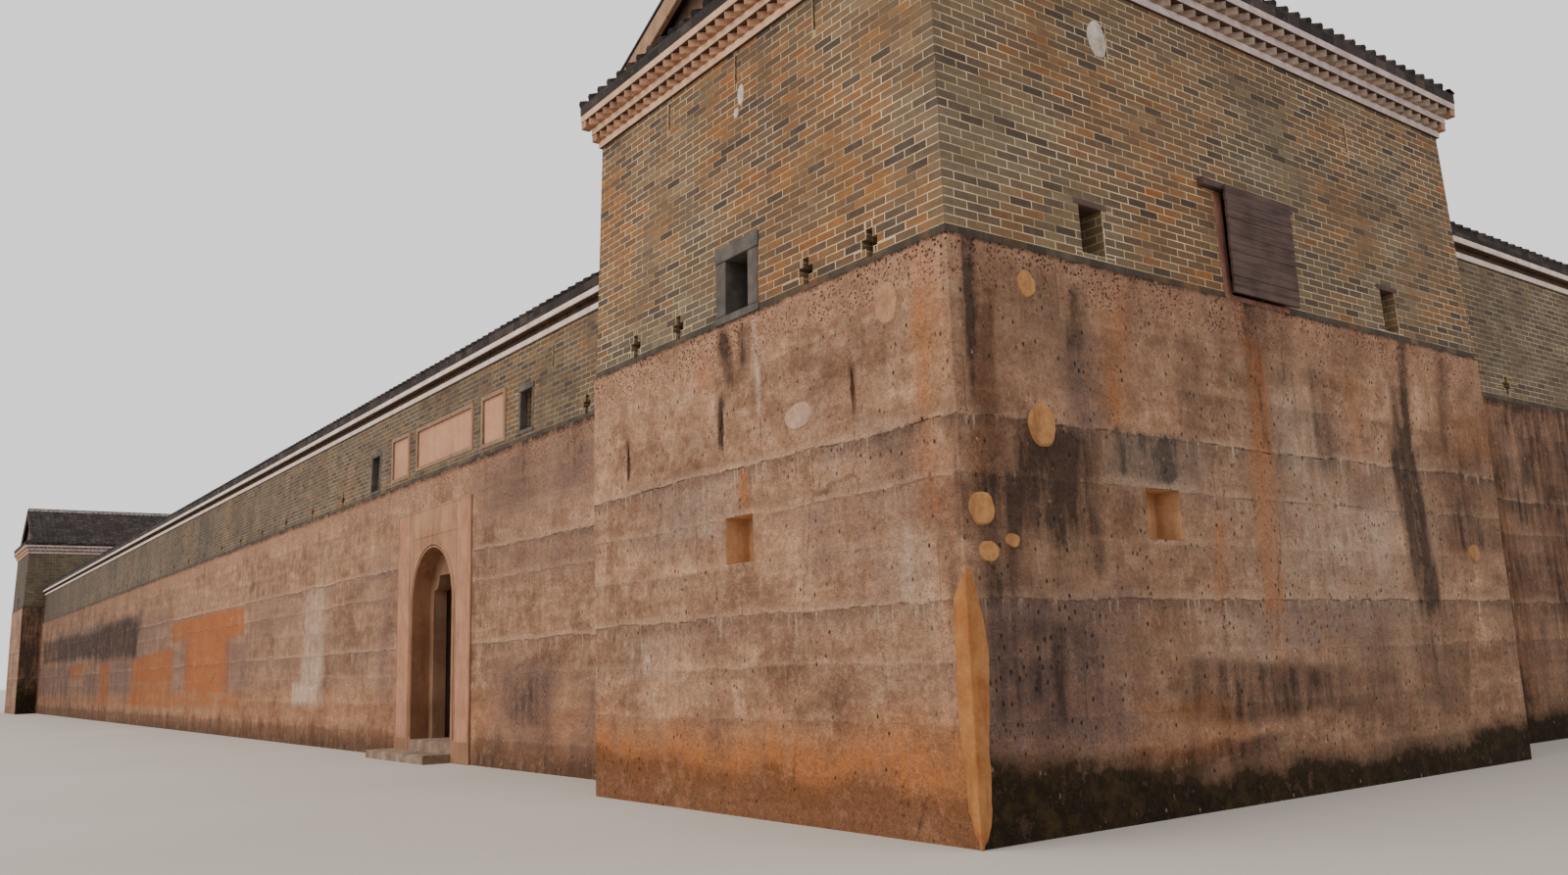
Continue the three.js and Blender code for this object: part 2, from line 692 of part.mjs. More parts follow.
for (const [name, side] of [["gate_leaf_left", -1], ["gate_leaf_right", 1]]) {
  const x = gateX + side * pivotFromMiddle;
  const leafBottom = thresholdTop + leafClear;
  const board = frontPlace.box(x - leafThick / 2, x + leafThick / 2, pivotS - leafThick / 2,
    pivotS + pivotFromMiddle - leafMeeting, leafBottom, leafTop);
  const lowPin = post(pivotRadius, x, pivotY, thresholdTop - pivotDepth + gap, leafBottom + pinInLeaf);
  const highPin = post(pivotRadius, x, pivotY, leafTop - pinInLeaf, bearerBottom + pivotDepth - gap);
  piece(name, join([board, lowPin, highPin]), woodFinish);
}

for (const { name, at, width, low, high } of panels) {
  const x = fromRight(at);
  const plate = frontPlace.box(x - width / 2, x + width / 2, panelFace, panelBack, low, high);
  const sunk = frontPlace.box(x - width / 2 + panelBorder, x + width / 2 - panelBorder,
    panelFace - past, panelFace + panelSunk, low + panelBorder, high - panelBorder);
  piece(name, plate.subtract(sunk), plasterFinish);
}

const near = towerPlace(1, -1);
const railInner = brickInset + batter * (rail.low - earthTop) - gap;
const shutterInner = railInner - rail.thick - gap;
piece("shutter_rail", near.box(railInner - rail.thick, railInner, rail.from, rail.to, rail.low,
  rail.high), woodFinish);
piece("shutter", near.box(shutterInner - shutter.thick, shutterInner, shutter.from, shutter.to,
  shutter.low, shutter.high), woodFinish);

export default village;
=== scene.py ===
import json
import math

import bmesh
import bpy
from mathutils import Matrix, Vector, noise

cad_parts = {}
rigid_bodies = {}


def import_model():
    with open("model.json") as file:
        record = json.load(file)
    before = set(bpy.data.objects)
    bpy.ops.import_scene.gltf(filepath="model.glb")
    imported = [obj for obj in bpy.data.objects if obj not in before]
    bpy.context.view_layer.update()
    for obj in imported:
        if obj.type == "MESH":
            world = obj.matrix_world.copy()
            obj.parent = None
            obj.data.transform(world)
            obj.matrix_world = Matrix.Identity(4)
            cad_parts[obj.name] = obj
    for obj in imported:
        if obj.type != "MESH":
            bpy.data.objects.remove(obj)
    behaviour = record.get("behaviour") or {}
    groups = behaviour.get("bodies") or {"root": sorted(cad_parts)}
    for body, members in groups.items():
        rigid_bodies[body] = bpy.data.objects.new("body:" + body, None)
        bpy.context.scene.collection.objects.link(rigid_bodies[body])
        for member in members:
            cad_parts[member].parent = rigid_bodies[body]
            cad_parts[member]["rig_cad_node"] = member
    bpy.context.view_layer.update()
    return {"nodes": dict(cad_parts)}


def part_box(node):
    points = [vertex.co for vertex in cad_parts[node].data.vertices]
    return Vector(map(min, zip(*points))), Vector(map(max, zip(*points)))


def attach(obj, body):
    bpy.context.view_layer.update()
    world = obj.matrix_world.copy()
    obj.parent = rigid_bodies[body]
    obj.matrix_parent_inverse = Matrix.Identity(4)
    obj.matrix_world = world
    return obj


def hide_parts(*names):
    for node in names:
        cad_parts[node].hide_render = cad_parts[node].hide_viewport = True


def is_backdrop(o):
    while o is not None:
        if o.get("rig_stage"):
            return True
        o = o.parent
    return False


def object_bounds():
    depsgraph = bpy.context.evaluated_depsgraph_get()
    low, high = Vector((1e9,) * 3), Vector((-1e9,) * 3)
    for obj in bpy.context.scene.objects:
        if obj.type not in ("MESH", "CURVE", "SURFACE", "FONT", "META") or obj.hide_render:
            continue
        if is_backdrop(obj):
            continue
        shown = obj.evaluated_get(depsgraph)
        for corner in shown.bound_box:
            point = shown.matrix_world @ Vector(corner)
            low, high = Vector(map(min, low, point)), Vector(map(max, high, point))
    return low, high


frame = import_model()

# The model is half the real size. Sizes marked real are the building's own, in metres.
scale = 0.5
cornerX = 18.28      # the near tower's outer corner
cornerY = -12.75
batter = 0.0243      # lean of every brick face

print("stage: camera and light")

# fitted to the photograph: place in model metres, angles in degrees, lens and sensor in millimetres
view = {
    "place": (21.503, -15.948, 0.674),
    "turn": 53.348,
    "pitch": 10.239,
    "roll": -1.969,
    "lens": 28.35,
    "sensor": 36,
    "nearest": 0.05,
    "farthest": 900,
}


def makeCamera():
    turn, pitch, roll = (math.radians(view[key]) for key in ("turn", "pitch", "roll"))
    ahead = Vector((-math.sin(turn) * math.cos(pitch), math.cos(turn) * math.cos(pitch), math.sin(pitch)))
    right = Vector((math.cos(turn), math.sin(turn), 0))
    up = right.cross(ahead)
    across = right * math.cos(roll) + up * math.sin(roll)
    above = up * math.cos(roll) - right * math.sin(roll)
    data = bpy.data.cameras.new("camera")
    data.lens = view["lens"]
    data.sensor_width = view["sensor"]
    data.clip_start = view["nearest"]
    data.clip_end = view["farthest"]
    camera = bpy.data.objects.new("camera", data)
    facing = Matrix((across, above, -ahead)).transposed().to_4x4()
    camera.matrix_world = Matrix.Translation(view["place"]) @ facing
    bpy.context.scene.collection.objects.link(camera)
    bpy.context.scene.camera = camera


makeCamera()

light = {
    "sky": "#e4e3e6",
    "skyStrength": 1.6,
    "sunColour": "#fff4e6",
    "sunStrength": 1.9,
    "sunSpread": 50,           # degrees, a soft overcast sun
    "sunFrom": (-0.25, -0.75, 0.62),
}


def linear(code):
    values = [int(code[i:i + 2], 16) / 255 for i in (1, 3, 5)]
    return [v / 12.92 if v <= 0.04045 else ((v + 0.055) / 1.055) ** 2.4 for v in values] + [1]


def perSize(millimetres):      # texture scale for a pattern whose real size is given
    return 1000 / (millimetres * scale)


def addNode(tree, kind, settings=None, links=None):
    node = tree.nodes.new("ShaderNode" + kind)
    for name, value in (settings or {}).items():
        if name == "stops":
            stops = node.color_ramp.elements
            stops[0].position, stops[0].color = value[0][0], linear(value[0][1])
            stops[1].position, stops[1].color = value[-1][0], linear(value[-1][1])
            for place, code in value[1:-1]:
                stops.new(place).color = linear(code)
        elif isinstance(name, str) and hasattr(node, name):
            setattr(node, name, value)
        else:
            node.inputs[name].default_value = linear(value) if isinstance(value, str) else value
    for name, source in (links or {}).items():
        output = source if isinstance(source, bpy.types.NodeSocket) else source.outputs[0]
        tree.links.new(output, node.inputs[name])
    return node


def makeLight():
    world = bpy.data.worlds.new("sky")
    world.use_nodes = True
    world.node_tree.nodes.clear()
    sky = addNode(world.node_tree, "Background", {"Color": light["sky"], "Strength": light["skyStrength"]})
    addNode(world.node_tree, "OutputWorld", {}, {"Surface": sky})
    bpy.context.scene.world = world
    sun = bpy.data.lights.new("softSun", "SUN")
    sun.energy = light["sunStrength"]
    sun.angle = math.radians(light["sunSpread"])
    sun.color = linear(light["sunColour"])[:3]
    lamp = bpy.data.objects.new("softSun", sun)
    lamp.rotation_euler = Vector(light["sunFrom"]).to_track_quat("Z", "Y").to_euler()
    bpy.context.scene.collection.objects.link(lamp)


makeLight()

print("stage: materials")


def startMaterial(name):
    material = bpy.data.materials.new(name)
    material.use_nodes = True
    tree = material.node_tree
    tree.nodes.clear()
    return material, tree, addNode(tree, "TexCoord").outputs["Object"]


def endMaterial(tree, colour, height, depth, roughness, shine=0.3):
    bump = addNode(tree, "Bump", {"Distance": depth, "Strength": 1}, {"Height": height})
    settings = {"IOR": 1.45, "Specular IOR Level": shine}
    links = {"Base Color": colour, "Normal": bump}
    if isinstance(roughness, (int, float)):
        settings["Roughness"] = roughness
    else:
        links["Roughness"] = roughness
    shader = addNode(tree, "BsdfPrincipled", settings, links)
    addNode(tree, "OutputMaterial", {}, {"Surface": shader})


# Shades a colour by patterns, each with the range it works over and the tones at its two ends.
def shadeBy(tree, colour, *patterns):
    for pattern, low, high, dark, bright in patterns:
        shade = addNode(tree, "MapRange", {"From Min": low, "From Max": high, "To Min": dark,
                                           "To Max": bright}, {"Value": pattern})
        colour = addNode(tree, "MixRGB", {"Fac": 1, "blend_type": "MULTIPLY"},
                         {"Color1": colour, "Color2": shade})
    return colour


# How much of a stain, joint or pit shows: the product of several patterns. A pattern may come with the
# range it fades in over and, after that, the amounts at its two ends.
def makeMask(tree, *parts):
    mask = None
    for part in parts:
        if isinstance(part, tuple):
            pattern, low, high, first, last = part if len(part) == 5 else (*part, 0, 1)
            part = addNode(tree, "MapRange", {"From Min": low, "From Max": high, "To Min": first,
                                              "To Max": last}, {"Value": pattern})
        if mask is not None:
            part = addNode(tree, "Math", {"operation": "MULTIPLY"}, {0: mask, 1: part})
        mask = part
    return mask


earth = {
    "pale": "#b08b6e",
    "body": "#977259",
    "deep": "#775945",
    "clod": "#6b5040",
    "wash": "#bd9c80",
    # the band of painted shadow under each joint between lifts
    "grime": "#5b4a41",
    "rust": "#a06437",
    "damp": "#6a5651",
    "soot": "#2c2320",
    "moss": "#17130b",
    "mossPale": "#352a15",
    "salt": "#c9b39d",
    "crest": "#ad846a",
    "ochre": "#a05b2c",
    "foot": "#5f3d27",
    "crack": "#3a2a21",
    "stone": "#b79c86",
    "hollow": "#33251d",
    "lift": 0.2275,        # model metres between the joints of the formwork
    "firstLift": 0.19,
    "panel": 1.3,          # length of one board of the formwork
    "shift": 0.37,         # how far the board ends move along from one lift to the next
    "wave": 0.07,          # swing of a joint up and down, and of the ripples on it
    "ripple": 0.02,
    "tallest": 2.4,        # model height where the scale of jointStrength ends
}
# how strongly each height shows its joints: the real heights of 1.75 and 3.11 m are the clear ones
jointStrength = [(0, "#606060"), (0.25, "#989898"), (0.3, "#989898"), (0.364, "#ececec"), (0.43, "#808080"),
                 (0.5, "#909090"), (0.553, "#c0c0c0"), (0.6, "#909090"), (0.648, "#ffffff"), (0.7, "#707070"),
                 (1, "#707070")]


# Noise from broad blotches down to grit, drawn out level in the strata and upright in runs and drips.
def earthPatterns(tree, place):
    layered = addNode(tree, "Mapping", {"Scale": (1, 1, 7)}, {"Vector": place})
    running = addNode(tree, "Mapping", {"Scale": (1, 1, 0.12)}, {"Vector": place})
    # each pattern's real size in millimetres, its detail, its roughness and the way it runs
    patterns = ((1100, 7, 0.68, place), (210, 6, 0.72, place), (46, 4, 0.7, place), (15, 3, 0.75, place),
                (900, 5, 0.6, layered), (130, 5, 0.65, running), (45, 3, 0.6, running))
    return [addNode(tree, "TexNoise", {"Scale": perSize(size), "Detail": detail, "Roughness": rough},
                    {"Vector": way}) for size, detail, rough, way in patterns]


# A point's place in the formwork: how far up its lift it is and how far along its board, a random number
# for each board of each lift, and how clear the joints are at that height.
def formwork(tree, place, blotch, mottle):
    parts = addNode(tree, "SeparateXYZ", {}, {"Vector": place})
    waved = parts.outputs[2]
    for pattern, swing in ((blotch, earth["wave"]), (mottle, earth["ripple"])):
        waved = addNode(tree, "Math", {"operation": "MULTIPLY_ADD", 1: swing}, {0: pattern, 2: waved})
    first = earth["firstLift"] + (earth["wave"] + earth["ripple"]) / 2
    turned = addNode(tree, "Math", {"operation": "MULTIPLY_ADD", 1: 1 / earth["lift"],
                                    2: -first / earth["lift"]}, {0: waved})
    over = addNode(tree, "Math", {"operation": "FRACT"}, {0: turned})
    level = addNode(tree, "Math", {"operation": "FLOOR"}, {0: turned})
    along = addNode(tree, "Math", {"operation": "ADD"}, {0: parts.outputs[0], 1: parts.outputs[1]})
    along = addNode(tree, "Math", {"operation": "MULTIPLY_ADD", 1: earth["shift"]}, {0: level, 2: along})
    board = addNode(tree, "Math", {"operation": "MULTIPLY", 1: 1 / earth["panel"]}, {0: along})
    boardEnd = addNode(tree, "Math", {"operation": "FRACT"}, {0: board})
    board = addNode(tree, "Math", {"operation": "FLOOR"}, {0: board})
    cell = addNode(tree, "CombineXYZ", {}, {"X": board, "Y": level})
    cell = addNode(tree, "TexWhiteNoise", {}, {"Vector": cell})
    heightPart = addNode(tree, "Math", {"operation": "MULTIPLY", 1: 1 / earth["tallest"]},
                         {0: parts.outputs[2]})
    strength = addNode(tree, "ValToRGB", {"stops": jointStrength}, {"Fac": heightPart})
    return over, boardEnd, cell, strength


# Lays the painted stains over a colour, broken up by a soft or by a smoky pattern.
def layStains(tree, colour, painted, mottle, streak):
    mossy = addNode(tree, "MixRGB", {"Color1": earth["moss"], "Color2": earth["mossPale"]},
                    {"Fac": makeMask(tree, (mottle, 0.44, 0.62))})
    smoky = addNode(tree, "MixRGB", {"Fac": 0.45}, {"Color1": streak, "Color2": mottle})
    for key, most in painted:
        mask = addNode(tree, "Attribute", {"attribute_name": key}).outputs["Fac"]
        least = 0.8 if key == "moss" else 0.35
        pattern = smoky if key in ("soot", "rust", "salt") else mottle
        amount = addNode(tree, "Math", {"operation": "MULTIPLY", "use_clamp": True},
                         {0: mask, 1: makeMask(tree, (pattern, 0.38, 0.6, least, 1.75))})
        amount = addNode(tree, "Math", {"operation": "MULTIPLY", 1: most}, {0: amount})
        links = {"Fac": amount, "Color1": colour}
        if key == "moss":
            links["Color2"] = mossy
        colour = addNode(tree, "MixRGB", {"Color2": earth[key]}, links)
    return colour


# Washed-out grit leaves pits, a little taller than wide, and some still hold a pale stone. Chips have
# broken out of the crumbling top.
def earthPits(tree, place, mottle, speck):
    upright = addNode(tree, "Mapping", {"Scale": (1, 1, 0.6)}, {"Vector": place})
    pits = addNode(tree, "TexVoronoi", {"Scale": perSize(62), "Randomness": 1}, {"Vector": upright})
    kind = addNode(tree, "SeparateColor", {}, {"Color": pits.outputs["Color"]})
    spot = makeMask(tree, (pits, 0.1, 0.24, 1, 0))
    damp, crest = (addNode(tree, "Attribute", {"attribute_name": key}).outputs["Fac"]
                   for key in ("damp", "crest"))
    pitted = addNode(tree, "Math", {"operation": "MAXIMUM"}, {0: makeMask(tree, (mottle, 0.46, 0.53)),
                                                              1: makeMask(tree, (damp, 0, 1, 0, 1.3))})
    pit = makeMask(tree, spot, pitted, (kind.outputs[0], 0.25, 0.8))
    stone = makeMask(tree, spot, (kind.outputs[1], 0.8, 0.82), (speck, 0.4, 0.55, 0, 0.7))
    chips = addNode(tree, "TexVoronoi", {"Scale": perSize(34), "Randomness": 1}, {"Vector": place})
    chip = makeMask(tree, (chips, 0.2, 0.4, 1, 0), crest, (mottle, 0.44, 0.5))
    return stone, addNode(tree, "Math", {"operation": "MAXIMUM"}, {0: pit, 1: chip})


# Lime-poor earth rammed between boards: dull, sandy, layered, with grit, pits and fine cracks.
def makeEarth(name, painted):
    material, tree, place = startMaterial(name)
    blotch, mottle, speck, grit, strata, streak, drips = earthPatterns(tree, place)
    over, boardEnd, cell, strength = formwork(tree, place, blotch, mottle)
    base = addNode(tree, "ValToRGB", {"stops": [(0.36, earth["deep"]), (0.47, earth["body"]),
                                                (0.6, earth["pale"])]}, {"Fac": blotch})
    mottled = addNode(tree, "ValToRGB", {"stops": [(0.38, earth["clod"]), (0.5, earth["body"]),
                                                   (0.61, earth["wash"])]}, {"Fac": mottle})
    colour = addNode(tree, "MixRGB", {"Fac": 0.42}, {"Color1": base, "Color2": mottled})
    # strata and streaks, and each board's length of each lift dried to its own tone
    colour = shadeBy(tree, colour, (strata, 0.38, 0.62, 0.86, 1.1), (streak, 0.38, 0.62, 0.92, 1.06),
                     (cell, 0, 1, 0.88, 1.1))
    # the joints between lifts: a thin crack, a pale lip over it and a band of painted shadow under it
    crack = makeMask(tree, (over, 0.01, 0.035, 1, 0), (mottle, 0.45, 0.56, 0, 0.85), strength)
    lip = makeMask(tree, (over, 0.03, 0.2, 0.6, 0), strength)
    shadowBelowJoint = makeMask(tree, (over, 0.45, 1, 0, 0.75), (blotch, 0.4, 0.56, 0.15, 1), strength)
    # lime washed out of the joints runs down as thin pale drips
    dripping = makeMask(tree, (over, 0.2, 0.95), (drips, 0.57, 0.69, 0, 0.75), strength)
    for key, mask in (("grime", shadowBelowJoint), ("wash", lip), ("salt", dripping)):
        colour = addNode(tree, "MixRGB", {"Color2": earth[key]}, {"Fac": mask, "Color1": colour})
    colour = layStains(tree, colour, painted, mottle, streak)
    # a few shrinkage cracks, mostly upright, and the ends of the boards
    bent = addNode(tree, "MixRGB", {"Fac": 0.12, "blend_type": "ADD"},
                   {"Color1": place, "Color2": mottle.outputs["Color"]})
    tall = addNode(tree, "Mapping", {"Scale": (1, 1, 0.2)}, {"Vector": bent})
    splits = addNode(tree, "TexVoronoi", {"Scale": perSize(2600), "feature": "DISTANCE_TO_EDGE"},
                     {"Vector": tall})
    split = makeMask(tree, (splits, 0.001, 0.0035, 0.45, 0), (blotch, 0.5, 0.55))
    ends = makeMask(tree, (boardEnd, 0.002, 0.006, 0.5, 0), (cell, 0.55, 0.6))
    split = addNode(tree, "Math", {"operation": "MAXIMUM"}, {0: split, 1: ends})
    for mask in (crack, split):
        colour = addNode(tree, "MixRGB", {"Color2": earth["crack"]}, {"Fac": mask, "Color1": colour})
    colour = shadeBy(tree, colour, (speck, 0.35, 0.65, 0.8, 1.16), (grit, 0.32, 0.68, 0.7, 1.28))
    stone, hollow = earthPits(tree, place, mottle, speck)
    for key, mask in (("stone", stone), ("hollow", hollow)):
        colour = addNode(tree, "MixRGB", {"Color2": earth[key]}, {"Fac": mask, "Color1": colour})
    height = speck
    for pattern, weight in ((grit, 0.5), (mottle, 0.8), (hollow, -0.7), (crack, -0.7)):
        height = addNode(tree, "Math", {"operation": "MULTIPLY_ADD", 1: weight}, {0: pattern, 2: height})
    endMaterial(tree, colour, height, 0.009, 0.95, 0.12)
    return material


stainKinds = [("ochre", 0.85), ("rust", 0.8), ("foot", 0.7), ("crest", 0.6), ("damp", 0.7), ("salt", 0.65),
              ("soot", 0.85), ("moss", 0.96)]
rammedEarth = makeEarth("rammed earth, weathered", stainKinds)
plainEarth = makeEarth("rammed earth, sheltered", [])


bond = {
    "length": 0.1275,      # a stretcher and its joint
    "course": 0.0375,
    "joint": 0.0043,
    "relief": 0.0016,      # brick face in front of the mortar
    "uneven": 0.0011,
    "behind": 0.0006,      # how far the mortar stands in front of the CAD face
    "corner": 0.11,        # a brick whose middle is nearer than this to a corner shows on both faces
    "arris": 0.09,         # and its upright edge that is nearer than this is the one at the corner
}


# Low-fired clay bricks: every one a little different, from ochre to olive and a few overburnt ones.
def makeBrick():
    material, tree, place = startMaterial("hand-moulded brick, weathered")
    tone, warm, grime = (addNode(tree, "Attribute", {"attribute_name": key}).outputs["Fac"]
                         for key in ("tone", "warmth", "grime"))
    olive = addNode(tree, "ValToRGB", {"stops": [(0, "#443b32"), (0.08, "#4e4337"), (0.14, "#5a4e3f"),
                                                 (0.45, "#675a47"), (0.8, "#766851"), (1, "#5f523d")]},
                    {"Fac": tone})
    ochre = addNode(tree, "ValToRGB", {"stops": [(0, "#46382e"), (0.07, "#524033"), (0.13, "#644b35"),
                                                 (0.45, "#705134"), (0.8, "#825b36"), (0.95, "#895a2e"),
                                                 (1, "#92592c")]}, {"Fac": tone})
    colour = addNode(tree, "MixRGB", {}, {"Fac": warm, "Color1": olive, "Color2": ochre})
    mottle = addNode(tree, "TexNoise", {"Scale": perSize(60), "Detail": 4, "Roughness": 0.65},
                     {"Vector": place})
    grit = addNode(tree, "TexNoise", {"Scale": perSize(9), "Detail": 3, "Roughness": 0.6},
                   {"Vector": place})
    running = addNode(tree, "Mapping", {"Scale": (1, 1, 0.08)}, {"Vector": place})
    streak = addNode(tree, "TexNoise", {"Scale": perSize(260), "Detail": 4, "Roughness": 0.6},
                     {"Vector": running})
    # whole courses came from one firing, which shows from afar as level streaks
    level = addNode(tree, "Mapping", {"Scale": (0.06, 0.06, 1)}, {"Vector": place})
    firing = addNode(tree, "TexNoise", {"Scale": perSize(150), "Detail": 3, "Roughness": 0.7},
                     {"Vector": level})
    colour = shadeBy(tree, colour, (mottle, 0.3, 0.7, 0.8, 1.18), (firing, 0.35, 0.65, 0.84, 1.14))
    runs = makeMask(tree, (streak, 0.52, 0.68, 0, 0.35))
    colour = addNode(tree, "MixRGB", {"Color2": "#62574a"}, {"Fac": runs, "Color1": colour})
    dirty = addNode(tree, "Math", {"operation": "MULTIPLY", "use_clamp": True},
                    {0: makeMask(tree, (streak, 0.36, 0.64, 0.45, 1.1)), 1: grime})
    colour = addNode(tree, "MixRGB", {"Color2": "#3a342d"}, {"Fac": dirty, "Color1": colour})
    height = addNode(tree, "Math", {"operation": "MULTIPLY_ADD", 1: 0.4}, {0: grit, 2: mottle})
    rough = addNode(tree, "MapRange", {"To Min": 0.78, "To Max": 0.95}, {"Value": mottle})
    endMaterial(tree, colour, height, 0.0015, rough)
    return material


# Cream lime mortar, struck flush and weathered back from the brick faces.
def makeMortar():
    material, tree, place = startMaterial("lime mortar, struck joints")
    stain = addNode(tree, "TexNoise", {"Scale": perSize(700), "Detail": 5, "Roughness": 0.65},
                    {"Vector": place})
    grit = addNode(tree, "TexNoise", {"Scale": perSize(14), "Detail": 3}, {"Vector": place})
    colour = addNode(tree, "ValToRGB", {"stops": [(0.36, "#96815f"), (0.46, "#c5ae88"), (0.58, "#e2cfab")]},
                     {"Fac": stain})
    grime = addNode(tree, "Attribute", {"attribute_name": "grime"})
    colour = addNode(tree, "MixRGB", {"Color2": "#564d41"}, {"Fac": grime.outputs["Fac"], "Color1": colour})
    endMaterial(tree, colour, grit, 0.001, 0.92, 0.15)
    return material


# The same bonded brickwork where no separate bricks are laid: inner faces and the depths of openings.
def makeBrickwork():
    material, tree, place = startMaterial("bonded brickwork, inner faces")
    parts = addNode(tree, "SeparateXYZ", {}, {"Vector": place})
    along = addNode(tree, "Math", {"operation": "ADD"}, {0: parts.outputs[0], 1: parts.outputs[1]})
    flat = addNode(tree, "CombineXYZ", {}, {"X": along, "Y": parts.outputs[2]})
    courses = addNode(tree, "TexBrick", {"Color1": "#8a7150", "Color2": "#6d5c46", "Mortar": "#b7a283",
                                         "Scale": 1, "Mortar Size": 0.0024, "Mortar Smooth": 0.1,
                                         "Bias": -0.1, "Brick Width": bond["length"],
                                         "Row Height": bond["course"]}, {"Vector": flat})
    mottle = addNode(tree, "TexNoise", {"Scale": perSize(160), "Detail": 5, "Roughness": 0.65},
                     {"Vector": place})
    colour = shadeBy(tree, courses.outputs["Color"], (mottle, 0.3, 0.7, 0.72, 1.12))
    height = addNode(tree, "Math", {"operation": "MULTIPLY_ADD", 1: -0.8},
                     {0: courses.outputs["Fac"], 2: mottle})
    endMaterial(tree, colour, height, 0.002, 0.9)
    return material


# Smooth trowelled lime plaster: a soft sheen, cloudy, with drips of dirt and fine wear. Given a y, the
# plaster past it, in the gate's reveal, is darker with painted shade, and so is its foot.
def makePlaster(name, pale, body, dirt, dirtAmount, cloudSize=500, paintedShadeFrom=None):
    material, tree, place = startMaterial(name)
    cloud = addNode(tree, "TexNoise", {"Scale": perSize(cloudSize), "Detail": 5, "Roughness": 0.6},
                    {"Vector": place})
    fine = addNode(tree, "TexNoise", {"Scale": perSize(30), "Detail": 4, "Roughness": 0.6},
                   {"Vector": place})
    running = addNode(tree, "Mapping", {"Scale": (1, 1, 0.12)}, {"Vector": place})
    drip = addNode(tree, "TexNoise", {"Scale": perSize(120), "Detail": 4, "Roughness": 0.65},
                   {"Vector": running})
    colour = addNode(tree, "MixRGB", {"Color1": body, "Color2": pale},
                     {"Fac": makeMask(tree, (cloud, 0.35, 0.62))})
    dirty = makeMask(tree, (drip, 0.5, 0.72, 0, dirtAmount))
    colour = addNode(tree, "MixRGB", {"Color2": dirt}, {"Fac": dirty, "Color1": colour})
    if paintedShadeFrom:
        parts = addNode(tree, "SeparateXYZ", {}, {"Vector": place})
        inside = makeMask(tree, (parts.outputs[1], paintedShadeFrom, paintedShadeFrom + 0.004))
        low = makeMask(tree, (parts.outputs[2], 0.1, 1.1, 0.45, 0))
        colour = addNode(tree, "MixRGB", {"Color2": dirt}, {"Fac": low, "Color1": colour})
        # painted shade deep in the gate's reveal
        colour = addNode(tree, "MixRGB", {"Color2": "#ded3cc", "blend_type": "MULTIPLY"},
                         {"Fac": inside, "Color1": colour})
    colour = shadeBy(tree, colour, (fine, 0.3, 0.7, 0.86, 1.1))
    rough = addNode(tree, "MapRange", {"To Min": 0.7, "To Max": 0.95}, {"Value": cloud})
    endMaterial(tree, colour, fine, 0.0012, rough)
    return material


# its reveal, past this y, is darkened with painted shade
gatePlaster = makePlaster("trowelled lime plaster, earth tinted", "#a98062", "#93694c", "#674731", 0.5,
                          paintedShadeFrom=-12.311)
framePlaster = makePlaster("gate frame plaster, tan", "#8d6a51", "#76563f", "#4b3425", 0.5)
stripPlaster = makePlaster("limewash over gate plaster, worn", "#b18165", "#9b6c51", "#72503a", 0.5, 250)
panelPlaster = makePlaster("smooth lime plaster, peach", "#bc8d6d", "#ad7e60", "#86624c", 0.35)
panelRim = makePlaster("lime plaster rim, worn, inner walls in painted shade", "#93775f", "#7d6451", "#54402f", 0.5, 200)
bandPlaster = makePlaster("limewashed corbel bands", "#d3ae90", "#bc9576", "#8b6a52", 0.4, 300)
# the same bands on the sides turned left and right, greyer: painted shade
shadedSideBand = makePlaster("limewashed corbel bands, side in painted shade", "#c6b3ad", "#ad9993", "#806d68", 0.4, 300)
wallBand = makePlaster("limewashed eaves bands, pale", "#e2d2c4", "#cdb8a9", "#917a6d", 0.4, 300)
corbelBrick = makePlaster("worn limewash on corbel bricks", "#b98f72", "#966d53", "#5c4535", 0.5, 120)
# the same corbel bricks on those sides, greyer: painted shade
shadedSideCorbel = makePlaster("worn limewash on corbel bricks, side in painted shade", "#a59180", "#857263", "#54463b", 0.5,
                         120)
corbelShade = makePlaster("painted shade in the recess between corbels", "#5a4535", "#433226", "#2d2119", 0.6, 200)
gablePlaster = makePlaster("raking verge plaster, tan", "#a9876a", "#8f6f55", "#5e4838", 0.7)
gableRough = makePlaster("rough gable render, brown", "#7d6350", "#654d40", "#42312a", 0.6, 250)
ochreClay = makePlaster("ochre clay mend, hand smoothed", "#b0804f", "#9d6d41", "#6f4c30", 0.6, 120)
dullClay = makePlaster("old clay mend, weathered", "#a57f60", "#93694a", "#6f4f39", 0.6, 120)
# the niche lining is painted pale: painted light in the shaded niche
nicheClay = makePlaster("niche lining clay, painted light", "#c79d75", "#b4885f", "#8b6443", 0.4, 150)
tongueClay = makePlaster("wet-laid ochre clay, streaky", "#a27040", "#8a5226", "#5f3717", 0.8, 260)
paleMend = makePlaster("lime mend, hand smoothed", "#c9bfb2", "#a89a8c", "#7a6a5c", 0.4, 120)
pinkMend = makePlaster("lime and earth mend, smoothed", "#b3917a", "#9f7d67", "#87695a", 0.4, 120)
ridgeMortar = makePlaster("ridge mortar, rain washed", "#a79f97", "#857c75", "#4a423f", 0.8, 300)
jambPlaster = makePlaster("opening jamb plaster, pink", "#8d6252", "#754b3d", "#4b312a", 0.6, 200)
grooveShadow = makePlaster("painted shadow in the groove round the arch", "#553c2d", "#493326", "#33231b", 0.5, 200)


